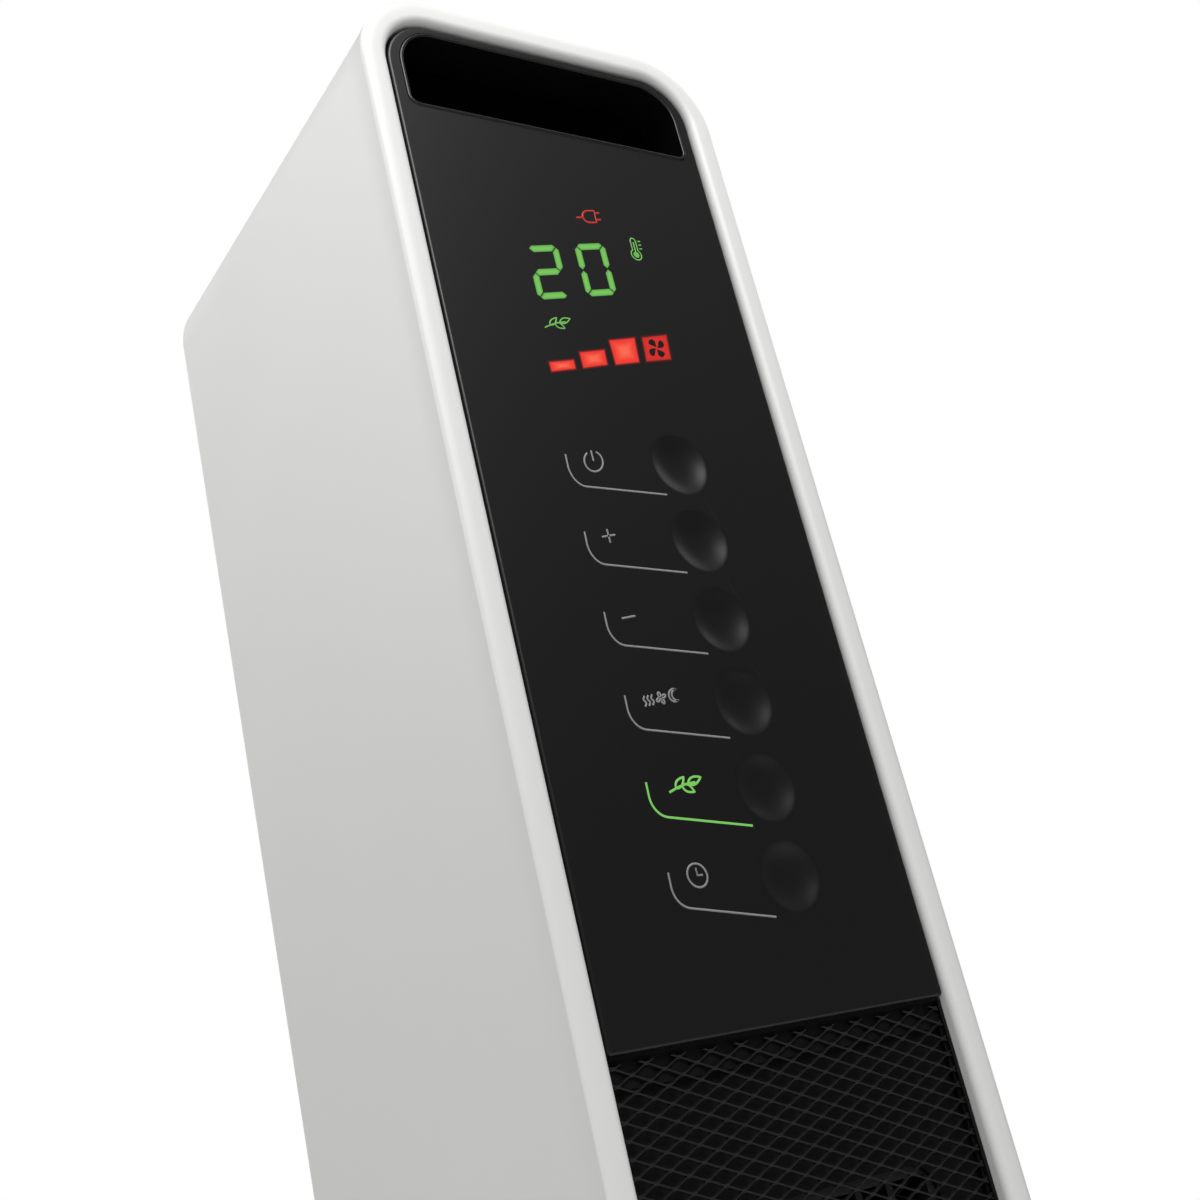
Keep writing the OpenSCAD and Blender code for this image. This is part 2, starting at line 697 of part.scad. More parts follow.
module motor_screws() color("#9a9a9a") at_lugs(casing_z1) {
  cylinder(r = 1.3 - self_tap, h = motor_z0 + lug_t - casing_z1);
  translate([0, 0, motor_z0 + lug_t - casing_z1]) cylinder(r = 2.9, h = 2);
}

// ---------------------------------------------------------------- rear

// One louvre blade across the intake, leaning outwards and down
module louvre(z) {
  translate([0, front_y + (cover_v0 + cover_v1) / 2, z]) rotate([35, 0, 0])
    cube([intake_w + 2, 1.6, 7.5], center = true);
}

module rear_cover() color("#1c1c1e") difference() {
  union() {
    difference() {
      slab(cover_w, cover_z0, cover_z1, cover_rt, cover_rb, cover_v0, cover_v1);
      block(-intake_w / 2, intake_w / 2, intake_z0, intake_z1, cover_v0 - 1, cover_v1 + 1);
    }
    intersection() {
      for (i = [0:floor(intake_h / louvre_pitch)]) louvre(intake_z0 + 1 + i * louvre_pitch);
      block(-intake_w / 2 - 1, intake_w / 2 + 1, intake_z0 - 1, intake_z1 + 1, cover_v0,
        cover_v1);
    }
    for (x = [-intake_w / 6, intake_w / 6])
      block(x - 1.5, x + 1.5, intake_z0 - 1, intake_z1 + 1, cover_v0, cover_v1 - 1);
    for (s = [-1, 1], z = [power_z0 + 8, power_z1 - 8])
      post(s * power_x, z, 3.5, power_v, cover_v0 + 0.5);
  }
  for (s = [-1, 1], z = boss_z) {
    post(s * boss_x, z, 1.8, cover_v0 - 1, cover_v1 + 1);
    post(s * boss_x, z, 3.6, cover_v1 - 1.8, cover_v1 + 1);
  }
  for (s = [-1, 1], z = [power_z0 + 8, power_z1 - 8])
    post(s * power_x, z, 1.2, power_v - 1, power_v + 10);
  block(switch_x - switch_w / 2, switch_x + switch_w / 2, switch_z - switch_h / 2,
    switch_z + switch_h / 2, cover_v0 - 1, cover_v1 + 1);
  post(cord_x, cord_z, cord_r + 3.4, cover_v0 - 1, cover_v1 + 1);
}

// Fine filter in a frame, just inside the louvres
module dust_filter() color("#5a5d62") {
  v1 = cover_v0;
  difference() {
    block(-intake_w / 2 - 3, intake_w / 2 + 3, intake_z0 - 3, intake_z1 + 3, v1 - filter_t, v1);
    block(-intake_w / 2 + 2, intake_w / 2 - 2, intake_z0 + 2, intake_z1 - 2,
      v1 - filter_t - 1, v1 + 1);
  }
  block(-intake_w / 2 + 1, intake_w / 2 - 1, intake_z0 + 1, intake_z1 - 1, v1 - 2, v1 - 1.5);
}

// Mains switch: a snap-in frame with its well, and the rocker that tips in it
module at_rocker() {
  translate([switch_x, front_y + rocker_v, switch_z]) children();
}

module switch_body() color("#101010") difference() {
  union() {
    block(switch_x - switch_w / 2 - 1, switch_x + switch_w / 2 + 1,
      switch_z - switch_h / 2 - 1, switch_z + switch_h / 2 + 1, cover_v1, cover_v1 + 1.3);
    block(switch_x - switch_w / 2 + 0.15, switch_x + switch_w / 2 - 0.15,
      switch_z - switch_h / 2 + 0.15, switch_z + switch_h / 2 - 0.15, cover_v0 - 12, cover_v1);
  }
  block(switch_x - well_w / 2, switch_x + well_w / 2, switch_z - well_h / 2,
    switch_z + well_h / 2, cover_v1 - 8, cover_v1 + 2);
  at_rocker() cylinder(r = pin_r + 0.06, h = well_h + 1.6, center = true);
}

// Seen along its pin: two wings that meet in a shallow valley
module switch_rocker() color("#b01818") at_rocker() rotate(-rocker_tilt) {
  linear_extrude(well_h - 0.6, center = true)
    polygon([[-rocker_half, -0.5], [-3, -3.5], [3, -3.5], [rocker_half, -0.5],
      [rocker_half, 3.2 + rocker_half * tan(rocker_tilt)], [0, 3.2],
      [-rocker_half, 3.2 + rocker_half * tan(rocker_tilt)]]);
  cylinder(r = pin_r, h = well_h + 1.4, center = true);
}

// Bush that a mains cord would pass through
module cord_grommet() color("#161616") difference() {
  union() {
    post(cord_x, cord_z, cord_r + 3.2, cover_v0 - 2, cover_v1);
    post(cord_x, cord_z, cord_r + 5, cover_v1, cover_v1 + 1.3);
    post(cord_x, cord_z, cord_r + 4.6, cover_v0 - 2, cover_v0);
  }
  post(cord_x, cord_z, cord_r, cover_v0 - 3, cover_v1 + 3);
}

module power_board() color("#7a5a24") difference() {
  slab(2 * power_x + 14, power_z0, power_z1, 2, 2, power_v - board_t, power_v);
  for (s = [-1, 1], z = [power_z0 + 8, power_z1 - 8])
    post(s * power_x, z, 1.6, power_v - board_t - 1, power_v + 1);
}

// Three sealed relays in a row on the power board
module relays() color("#2a4f8a") for (x = [-relay_w - 6, 0, relay_w + 6])
  block(x - relay_w / 2, x + relay_w / 2, power_z0 + 18, power_z0 + 18 + relay_h,
    power_v - board_t - relay_d, power_v - board_t);

// Finned sink of the heater's switching device
module heat_sink() color("#a8abb0")
  translate([-sink_w / 2, front_y + power_v - board_t, power_z1 - 22 - sink_h])
    linear_extrude(sink_h) {
      translate([0, -4]) square([sink_w, 4]);
      for (i = [0:6]) translate([i * (sink_w - 1.6) / 6, -sink_d]) square([1.6, sink_d - 3]);
    }

// Thermistor bead in a clip beside the intake
module room_sensor() color("#2c2c2c") {
  post(sensor_x, intake_z0 + 14, 2.6, cover_v0 - 7, cover_v0);
  post(sensor_x, intake_z0 + 14, 1.6, cover_v0 - 13, cover_v0 - 7);
}

// ---------------------------------------------------------------- foot

module flat_rounded(w, d, r) {
  rounded(w, -d / 2, d / 2, r, r);
}

module foot_plate() color("#151515") difference() {
  translate([0, 0, pad_h]) linear_extrude(foot_h - pad_h) flat_rounded(foot_w, foot_d, foot_r);
  at_pads(pad_h - 1) cylinder(r = pad_r + 0.1, h = 2);
  at_foot_screws(pad_h - 1) cylinder(r = 3.8, h = 5);
  at_foot_screws(pad_h - 1) cylinder(r = 1.8, h = foot_h + 2);
}

module at_pads(z) {
  for (x = [-1, 1], y = [-1, 1])
    translate([x * (foot_w / 2 - 12), y * (foot_d / 2 - 12), z]) children();
}

module at_foot_screws(z) {
  for (x = [-1, 1], y = [-1, 1]) translate([x * screw_x, y * screw_y, z]) children();
}

module rubber_feet() color("#202020") at_pads(0) {
  cylinder(r1 = pad_r - 0.8, r2 = pad_r, h = 0.8);
  translate([0, 0, 0.8]) cylinder(r = pad_r, h = pad_h + 0.2);
}

// Sealed gravity switch that opens when the heater tips
module tip_switch() color("#d8d8d8")
  translate([screw_x - 5.5, screw_y - 22, shell_z0 + shell_wall]) {
  translate([-11, -7, 0]) cube([22, 14, 3]);
  translate([-9, -6, 3]) cube([18, 12, 13]);
}

// ---------------------------------------------------------------- screws

module frame_screws() color("#9a9a9a") for (s = [-1, 1]) {
  post(s * post_x, panel_bottom + 4, 3, heater_v0, heater_v0 + 2);
  post(s * post_x, panel_bottom + 4, 1.3 - self_tap, ledge_v0 + 0.4, heater_v0);
}

module casing_screws() color("#9a9a9a") for (s = [-1, 1], z = ear_z) {
  post(s * ear_x, z, 2.2, casing_v0 + ear_t, casing_v0 + ear_t + 1.8);
  post(s * ear_x, z, 1.3 - self_tap, casing_v0 - 8, casing_v0 + ear_t);
}

module board_screws() color("#9a9a9a") for (s = [-1, 1], z = [board_z0 + board_edge, board_z1 - board_edge]) {
  post(s * post_x, z, 2.6, board_v + board_t, board_v + board_t + 1.8);
  post(s * post_x, z, 1.2 - self_tap, board_v - 6, board_v + board_t);
}

module power_screws() color("#9a9a9a") for (s = [-1, 1], z = [power_z0 + 8, power_z1 - 8]) {
  post(s * power_x, z, 2.6, power_v - board_t - 1.8, power_v - board_t);
  post(s * power_x, z, 1.2 - self_tap, power_v - board_t, power_v + 8);
}

module cover_screws() color("#9a9a9a") for (s = [-1, 1], z = boss_z) {
  post(s * boss_x, z, 3.3, cover_v1 - 1.8, cover_v1 - 0.1);
  post(s * boss_x, z, 1.4 - self_tap, cover_v0 - 12, cover_v1 - 1.8);
}

module foot_screws() color("#9a9a9a") at_foot_screws(0) {
  translate([0, 0, pad_h + 1.8]) cylinder(r = 3.2, h = 2.2);
  translate([0, 0, pad_h + 4]) cylinder(r = 1.6 - self_tap, h = foot_h + 8 - pad_h);
}

outer_shell();
front_frame();
control_panel();
handle_pocket();
display_module();
control_board();
tact_switches();
for (i = [0:key_count - 1]) key(i);
front_mesh();
outlet_baffle();
heater_frame();
heater_fins();
heater_stones();
heater_terminals();
thermal_cutout();
fan_casing();
casing_lid();
blower_wheel();
wheel_hub();
motor_shaft();
stub_axle();
shaft_bush();
fan_motor();
motor_dampers();
rear_cover();
dust_filter();
switch_body();
switch_rocker();
cord_grommet();
power_board();
relays();
heat_sink();
room_sensor();
foot_plate();
rubber_feet();
tip_switch();
frame_screws();
casing_screws();
motor_screws();
board_screws();
power_screws();
cover_screws();
foot_screws();
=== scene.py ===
import math

import bmesh
import bpy
from mathutils import Matrix, Vector
from mathutils.geometry import tessellate_polygon


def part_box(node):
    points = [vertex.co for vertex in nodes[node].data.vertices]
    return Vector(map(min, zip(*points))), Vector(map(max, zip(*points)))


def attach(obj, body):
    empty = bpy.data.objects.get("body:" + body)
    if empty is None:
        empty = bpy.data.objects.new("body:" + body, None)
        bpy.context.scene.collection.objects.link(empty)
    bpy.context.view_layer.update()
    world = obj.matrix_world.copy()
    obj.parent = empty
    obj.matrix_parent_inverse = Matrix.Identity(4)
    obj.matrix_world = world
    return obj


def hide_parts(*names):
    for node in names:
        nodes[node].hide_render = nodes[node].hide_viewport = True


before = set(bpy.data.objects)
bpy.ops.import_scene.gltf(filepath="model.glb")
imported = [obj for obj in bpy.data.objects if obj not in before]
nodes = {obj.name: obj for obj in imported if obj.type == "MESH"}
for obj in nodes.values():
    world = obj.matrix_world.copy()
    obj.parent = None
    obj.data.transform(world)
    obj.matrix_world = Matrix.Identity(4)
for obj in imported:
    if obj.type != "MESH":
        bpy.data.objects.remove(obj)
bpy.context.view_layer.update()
mm = 0.001

# ------------------------------------------------------------------ viewpoint
# The heater is seen from its left front, from a hand's height above the floor and close by,
# so that the front runs away upwards and the left side shows whole.

camera = bpy.data.objects.new("camera", bpy.data.cameras.new("camera"))
bpy.context.scene.collection.objects.link(camera)
bpy.context.scene.camera = camera
camera.data.sensor_width = 36
camera.data.lens = 47.557
camera.data.clip_start = 0.01
eye = Vector((-308.4, -462.0, 221.7)) * mm
# How far it looks right of straight ahead and upwards, and how far it is turned on its side
heading, pitch, roll = (math.radians(a) for a in (36.957, 19.963, -13.639))
camera.matrix_world = (Matrix.Translation(eye) @ Matrix.Rotation(-heading, 4, "Z")
                       @ Matrix.Rotation(math.pi / 2 + pitch, 4, "X") @ Matrix.Rotation(roll, 4, "Z"))

# --------------------------------------------------------------------- sleeve
# The outer casing is one deep tube of white ABS with a rim round its open front, moulded on
# a spark-eroded tool. It is swept here with true fillets, so light runs softly round its rim.


def colour(hex_code):
    """A linear colour from the sRGB one that a paint chart gives."""
    parts = [int(hex_code[i:i + 2], 16) / 255 for i in (1, 3, 5)]
    return [c / 12.92 if c <= 0.04045 else ((c + 0.055) / 1.055) ** 2.4 for c in parts] + [1.0]


def add(tree, kind, inputs=(), **settings):
    """A node of that kind, with its settings and what each input holds or is fed by."""
    node = tree.nodes.new(kind)
    for key, value in settings.items():
        setattr(node, key, value)
    for key, value in dict(inputs).items():
        if isinstance(value, bpy.types.NodeSocket):
            tree.links.new(value, node.inputs[key])
        else:
            node.inputs[key].default_value = value
    return node


def finish(name, base, roughness, **sockets):
    """A new material, with what is the same all over it set on the shader's own sockets."""
    material = bpy.data.materials.new(name)
    material.use_nodes = True
    shader = material.node_tree.nodes["Principled BSDF"]
    shader.inputs["Base Color"].default_value = colour(base)
    shader.inputs["Roughness"].default_value = roughness
    for key, value in sockets.items():
        shader.inputs[key.replace("_", " ")].default_value = value
    return material, material.node_tree, shader


# Moulded ABS with a fine spark-eroded grain: a clean, slightly warm white with a broad soft
# sheen. The real grain is 0.15 mm and is drawn at 0.5 mm so that it shows at all.
white_abs, tree, shader = finish("moulded_white_abs", "#e9e9e8", 0.42, IOR=1.54)
place = add(tree, "ShaderNodeTexCoord").outputs["Object"]
grain = add(tree, "ShaderNodeTexNoise", {"Vector": place, "Scale": 2000, "Detail": 2})
drift = add(tree, "ShaderNodeTexNoise", {"Vector": place, "Scale": 14, "Detail": 1})
sheen = add(tree, "ShaderNodeMapRange", {"Value": drift.outputs["Fac"], "To Min": 0.38, "To Max": 0.46})
relief = add(tree, "ShaderNodeBump",
             {"Height": grain.outputs["Fac"], "Strength": 0.35, "Distance": 0.03 * mm})
tree.links.new(sheen.outputs["Result"], shader.inputs["Roughness"])
tree.links.new(relief.outputs["Normal"], shader.inputs["Normal"])


def outline(width, low, high, top_r, bottom_r, inset=0.0, turns=20, rest=1.0 * mm):
    """An upright rounded rectangle as (x, z) points, anticlockwise from the lower right, with
    a point just before and after each turn so that the flats stay flat."""
    points = []
    corners = ((1, -1, bottom_r), (1, 1, top_r), (-1, 1, top_r), (-1, -1, bottom_r))
    for corner, (sx, sz, r) in enumerate(corners):
        z = high - top_r if sz > 0 else low + bottom_r
        x = sx * (width / 2 - r)
        reach = max(r - inset, 0.0)
        start = (corner - 1) * 90
        along = math.radians(start)
        first = Vector((x + reach * math.cos(along), z + reach * math.sin(along)))
        tangent = Vector((-math.sin(along), math.cos(along)))
        points.append(first - tangent * rest)
        for k in range(turns + 1):
            a = math.radians(start + 90 * k / turns)
            points.append(Vector((x + reach * math.cos(a), z + reach * math.sin(a))))
        tangent = Vector((-math.sin(a), math.cos(a)))
        points.append(points[-1] + tangent * rest)
    return points


def arc(cx, cy, r, start, end, steps):
    """Points on an arc, angles in degrees."""
    angles = [math.radians(start + (end - start) * k / steps) for k in range(steps + 1)]
    return [(cx + r * math.cos(a), cy + r * math.sin(a)) for a in angles]


def band(bm, a, b):
    """Faces between two closed rings of as many points."""
    for i in range(len(a)):
        j = (i + 1) % len(a)
        bm.faces.new((a[i], a[j], b[j], b[i]))


def skin(name, rings, closed=True, cap_last=False):
    """A piece through rings of as many points each, joined round to the first where closed."""
    bm = bmesh.new()
    loops = [[bm.verts.new(p) for p in ring] for ring in rings]
    for a, b in zip(loops, loops[1:]):
        band(bm, a, b)
    if closed:
        band(bm, loops[-1], loops[0])
    if cap_last:
        bm.faces.new(loops[-1])
    return built(name, bm)


def built(name, bm, angle=32):
    """The finished object of a mesh in the making: outward faces, smooth up to that angle."""
    bmesh.ops.remove_doubles(bm, verts=bm.verts, dist=1e-7)
    bmesh.ops.recalc_face_normals(bm, faces=bm.faces)
    mesh = bpy.data.meshes.new(name)
    bm.to_mesh(mesh)
    bm.free()
    for polygon in mesh.polygons:
        polygon.use_smooth = angle > 0
    if angle > 0:
        mesh.set_sharp_from_angle(angle=math.radians(angle))
    piece = bpy.data.objects.new(name, mesh)
    bpy.context.scene.collection.objects.link(piece)
    return piece


def dress(piece, material, body=None, replaces=()):
    """Gives a piece its material and body, and hides the CAD nodes that it stands for."""
    if piece.material_slots:
        for material_slot in piece.material_slots:
            material_slot.material = material
    else:
        piece.data.materials.append(material)
    if body:
        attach(piece, body)
    if replaces:
        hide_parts(*replaces)


shell_low, shell_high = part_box("outer_shell")
front = shell_low.y
depth = shell_high.y - front
width = shell_high.x - shell_low.x
top_r, bottom_r = 29.5 * mm, 16 * mm
rim_w, rim_t, return_t, return_d, wall = (v * mm for v in (9.5, 3.2, 2.4, 13, 3))
# The rim turns over outwards by crown and dip and inwards by edge. Behind it the side draws
# in by flare over the first reach, and the back edge is cut by a small bevel.
crown, dip, edge, flare, reach, bevel = (v * mm for v in (4.5, 1.8, 3.0, 0.5, 13, 0.6))
# Inside the back a ledge rises from its foot to its top and ends where the cover sits
ledge, ledge_foot, ledge_top, cover_seat = (v * mm for v in (3, 15, 11, 7))
outside = [(flare + bevel, depth), (flare, depth - bevel), (flare, depth * 0.5), (flare, reach + 0.5 * mm)]
for k in range(11):
    share = k / 10
    outside.append((flare * (1 - share ** 2), reach - (reach - 2.0 * mm) * share))
inside = []
for turn in range(90, -1, -6):
    t = math.atan2(crown * math.sin(math.radians(turn)), dip * math.cos(math.radians(turn)))
    inside.append((crown * (1 - math.sin(t)), dip * (1 - math.cos(t))))
inside += arc(rim_w - edge, edge, edge, -90, 0, 14)
inside += [(rim_w, return_d - 0.5 * mm), (rim_w, return_d), (rim_w - return_t, return_d),
           (rim_w - return_t, rim_t), (wall, rim_t), (wall, depth - ledge_foot),
           (wall + ledge, depth - ledge_top), (wall + ledge, depth - cover_seat),
           (wall, depth - cover_seat), (wall, depth - bevel), (wall - bevel, depth)]
section = [(inset, v, shell_low.z - inset) for inset, v in outside]
section += [(inset, v, shell_low.z) for inset, v in inside]
rings = []
for inset, v, low in section:
    line = outline(width, low, shell_high.z, top_r, bottom_r, inset)
    rings.append([Vector((p.x, front + v, p.y)) for p in line])
dress(skin("sleeve_of_white_abs", rings), white_abs, "housing", ["outer_shell"])

# ----------------------------------------------------------------------- foot
# A shallow plinth of black ABS, screwed up into the sleeve from below, stands on four round
# pads of rubber, and the tip-over switch sits on it inside.

# Moulded black ABS, coarse-grained: a dull grey-black that hides scuffs. Grain drawn at 0.6 mm.
black_abs, tree, shader = finish("moulded_black_abs", "#161617", 0.5, IOR=1.54)
place = add(tree, "ShaderNodeTexCoord").outputs["Object"]
grain = add(tree, "ShaderNodeTexNoise", {"Vector": place, "Scale": 1700, "Detail": 3})
relief = add(tree, "ShaderNodeBump", {"Height": grain.outputs["Fac"], "Strength": 0.5, "Distance": 0.05 * mm})
tree.links.new(relief.outputs["Normal"], shader.inputs["Normal"])

# Moulded nitrile rubber: matt, slightly dusty black with a bloom that lifts its tone in patches.
rubber, tree, shader = finish("moulded_black_rubber", "#1b1b1b", 0.8, IOR=1.5)
place = add(tree, "ShaderNodeTexCoord").outputs["Object"]
bloom = add(tree, "ShaderNodeTexNoise", {"Vector": place, "Scale": 160, "Detail": 4})
tone = add(tree, "ShaderNodeValToRGB", {"Fac": bloom.outputs["Fac"]})
tone.color_ramp.elements[0].color = colour("#141414")
tone.color_ramp.elements[1].color = colour("#262626")
tree.links.new(tone.outputs["Color"], shader.inputs["Base Color"])

dress(nodes["foot_plate"], black_abs)
dress(nodes["rubber_feet"], rubber)
dress(nodes["tip_switch"], white_abs)

# ---------------------------------------------------------------- front frame
# A ring of black ABS clipped inside the rim carries panel and grille on one ledge. Behind the
# grille a pressed steel plate, powder-coated black, closes the front but for the air outlet.

# Powder coat on pressed steel: a soft black with the faint pebble of the baked powder, 0.8 mm.
powder_coat, tree, shader = finish("powder_coated_steel", "#0b0b0c", 0.58, Specular_IOR_Level=0.2)
place = add(tree, "ShaderNodeTexCoord").outputs["Object"]
pebble = add(tree, "ShaderNodeTexNoise", {"Vector": place, "Scale": 1300, "Detail": 2})
relief = add(tree, "ShaderNodeBump",
             {"Height": pebble.outputs["Fac"], "Strength": 0.5, "Distance": 0.06 * mm})
tree.links.new(relief.outputs["Normal"], shader.inputs["Normal"])

# Moulded ABS filled with carbon black and matt, drawn darker still as painted shade where it lies in the dark
# behind the panel.
frame_black_darkened_as_shade, tree, shader = finish("moulded_matt_black_abs", "#080809", 0.68, IOR=1.5, Specular_IOR_Level=0.2)
place = add(tree, "ShaderNodeTexCoord").outputs["Object"]
grain = add(tree, "ShaderNodeTexNoise", {"Vector": place, "Scale": 1500, "Detail": 2})
relief = add(tree, "ShaderNodeBump", {"Height": grain.outputs["Fac"], "Strength": 0.5, "Distance": 0.05 * mm})
tree.links.new(relief.outputs["Normal"], shader.inputs["Normal"])

dress(nodes["front_frame"], frame_black_darkened_as_shade)
dress(nodes["outlet_baffle"], powder_coat)

# --------------------------------------------------------------------- heater
# The element: folded aluminium fins glued between ceramic bars that limit their own heat, in
# a moulded black frame, with brass tabs out of its top and a bimetal cut-out on its back.

# Fired barium titanate in black glaze, as dark as the fins beside it: dense and slightly mottled.
ceramic, tree, shader = finish("black_glazed_ptc_ceramic", "#232221", 0.35, IOR=1.52)
place = add(tree, "ShaderNodeTexCoord").outputs["Object"]
mottle = add(tree, "ShaderNodeTexNoise", {"Vector": place, "Scale": 420, "Detail": 4})
tone = add(tree, "ShaderNodeValToRGB", {"Fac": mottle.outputs["Fac"]})
tone.color_ramp.elements[0].color = colour("#1b1a19")
tone.color_ramp.elements[1].color = colour("#2e2c2a")
tree.links.new(tone.outputs["Color"], shader.inputs["Base Color"])

# Rolled aluminium foil, drawn near black as painted shade for the dark behind the grille, with a dull metal
# edge.
fins_darkened_as_shade, tree, shader = finish("black_coated_aluminium", "#1a1a1c", 0.45, Metallic=0.6)
place = add(tree, "ShaderNodeTexCoord").outputs["Object"]
streak = add(tree, "ShaderNodeMapping", {"Vector": place, "Scale": (400, 40, 2500)})
rolled = add(tree, "ShaderNodeTexNoise", {"Vector": streak.outputs["Vector"], "Scale": 1, "Detail": 3})
sheen = add(tree, "ShaderNodeMapRange", {"Value": rolled.outputs["Fac"], "To Min": 0.35, "To Max": 0.6})
tree.links.new(sheen.outputs["Result"], shader.inputs["Roughness"])

# Stamped brass, a little tarnished: a dull yellow with browner patches.
brass, tree, shader = finish("stamped_brass", "#b08a45", 0.3, Metallic=1.0)
place = add(tree, "ShaderNodeTexCoord").outputs["Object"]
tarnish = add(tree, "ShaderNodeTexNoise", {"Vector": place, "Scale": 600, "Detail": 4})
tone = add(tree, "ShaderNodeValToRGB", {"Fac": tarnish.outputs["Fac"]})
tone.color_ramp.elements[0].color = colour("#8d6a34")
tone.color_ramp.elements[1].color = colour("#c9a65e")
tree.links.new(tone.outputs["Color"], shader.inputs["Base Color"])

# Cold-rolled steel under bright zinc: a cool grey with a faint bluish, uneven passivation.
zinc_steel, tree, shader = finish("bright_zinc_steel", "#a9adb2", 0.32, Metallic=1.0)
place = add(tree, "ShaderNodeTexCoord").outputs["Object"]
cloud = add(tree, "ShaderNodeTexNoise", {"Vector": place, "Scale": 250, "Detail": 3})
tone = add(tree, "ShaderNodeValToRGB", {"Fac": cloud.outputs["Fac"]})
tone.color_ramp.elements[0].color = colour("#8f949b")
tone.color_ramp.elements[1].color = colour("#c3c4c2")
tree.links.new(tone.outputs["Color"], shader.inputs["Base Color"])

dress(nodes["heater_frame"], black_abs)
dress(nodes["heater_fins"], fins_darkened_as_shade)
dress(nodes["heater_stones"], ceramic)
dress(nodes["heater_terminals"], brass)
dress(nodes["thermal_cutout"], zinc_steel)

# --------------------------------------------------------------------- blower
# A cross-flow wheel of glass-filled nylon turns about an upright shaft in a scroll of grey
# polypropylene. Its motor hangs on rubber dampers above the scroll's lid.

# Moulded glass-filled nylon: a flat dark grey with the pale flecks of fibres near the skin.
filled_nylon, tree, shader = finish("glass_filled_nylon", "#3a3c40", 0.6, IOR=1.53)
place = add(tree, "ShaderNodeTexCoord").outputs["Object"]
fibres = add(tree, "ShaderNodeTexNoise", {"Vector": place, "Scale": 900, "Detail": 5, "Roughness": 0.7})
tone = add(tree, "ShaderNodeValToRGB", {"Fac": fibres.outputs["Fac"]})
tone.color_ramp.elements[0].color = colour("#303236")
tone.color_ramp.elements[1].color = colour("#4a4c50")
tree.links.new(tone.outputs["Color"], shader.inputs["Base Color"])

# Moulded polypropylene: mid grey and waxy, with slow flow marks.
grey_pp, tree, shader = finish("moulded_grey_polypropylene", "#5b5e62", 0.48, IOR=1.49)
place = add(tree, "ShaderNodeTexCoord").outputs["Object"]
flow = add(tree, "ShaderNodeTexNoise", {"Vector": place, "Scale": 40, "Detail": 2, "Distortion": 1.5})
tone = add(tree, "ShaderNodeValToRGB", {"Fac": flow.outputs["Fac"]})
tone.color_ramp.elements[0].color = colour("#54575b")
tone.color_ramp.elements[1].color = colour("#65686c")
tree.links.new(tone.outputs["Color"], shader.inputs["Base Color"])

# Sintered bronze full of oil: brown, open-pored and faintly greasy.
sintered_bronze, tree, shader = finish("sintered_bronze", "#7d5a35", 0.5, Metallic=1.0)
place = add(tree, "ShaderNodeTexCoord").outputs["Object"]
pores = add(tree, "ShaderNodeTexVoronoi", {"Vector": place, "Scale": 3000})
relief = add(tree, "ShaderNodeBump",
             {"Height": pores.outputs["Distance"], "Strength": 0.5, "Distance": 0.05 * mm})
tree.links.new(relief.outputs["Normal"], shader.inputs["Normal"])

dress(nodes["fan_casing"], grey_pp)
dress(nodes["casing_lid"], grey_pp)
dress(nodes["blower_wheel"], filled_nylon)
dress(nodes["wheel_hub"], rubber)
dress(nodes["motor_shaft"], zinc_steel)
dress(nodes["stub_axle"], zinc_steel)
dress(nodes["shaft_bush"], sintered_bronze)
dress(nodes["fan_motor"], zinc_steel)
dress(nodes["motor_dampers"], rubber)

# --------------------------------------------------------------------- grille
# Expanded metal: a steel sheet slit and pulled open, so that each strand stands on edge like
# a small slat, leaning forward at its top, and is coated black with a dull sheen.

# E-coated steel: black, smooth and dull, its sheen a little uneven where the coat runs thin.
mesh_coat, tree, shader = finish("e_coated_expanded_steel", "#0c0c0d", 0.45, Specular_IOR_Level=0.35)
place = add(tree, "ShaderNodeTexCoord").outputs["Object"]
burr = add(tree, "ShaderNodeTexNoise", {"Vector": place, "Scale": 1500, "Detail": 3})
sheen = add(tree, "ShaderNodeMapRange", {"Value": burr.outputs["Fac"], "To Min": 0.32, "To Max": 0.5})
tree.links.new(sheen.outputs["Result"], shader.inputs["Roughness"])


def node_tree(name, floats=(), integers=(), objects=(), vectors=()):
    """An empty Geometry Nodes tree with named inputs for its sizes, and its two end nodes."""
    tree = bpy.data.node_groups.new(name, "GeometryNodeTree")
    tree.interface.new_socket("Geometry", in_out="INPUT", socket_type="NodeSocketGeometry")
    inputs = (("Float", floats), ("Int", integers), ("Object", objects), ("Vector", vectors),
              ("Material", ["Finish"]))
    for kind, names in inputs:
        for socket in names:
            tree.interface.new_socket(socket, in_out="INPUT", socket_type="NodeSocket" + kind)
    tree.interface.new_socket("Geometry", in_out="OUTPUT", socket_type="NodeSocketGeometry")
    return tree, tree.nodes.new("NodeGroupInput").outputs, tree.nodes.new("NodeGroupOutput").inputs


def grown(name, tree, **values):
    """What a tree makes with these sizes, as a plain mesh object."""
    seed = bpy.data.objects.new(name, bpy.data.meshes.new(name + "_seed"))
    bpy.context.scene.collection.objects.link(seed)
    modifier = seed.modifiers.new("made", "NODES")
    modifier.node_group = tree
    for item in tree.interface.items_tree:
        key = item.name.replace(" ", "_")
        if item.in_out == "INPUT" and key in values:
            modifier[item.identifier] = values[key]
    made = seed.evaluated_get(bpy.context.evaluated_depsgraph_get())
    mesh = bpy.data.meshes.new_from_object(made)
    bpy.data.objects.remove(seed)
    mesh.name = name
    piece = bpy.data.objects.new(name, mesh)
    bpy.context.scene.collection.objects.link(piece)
    return piece


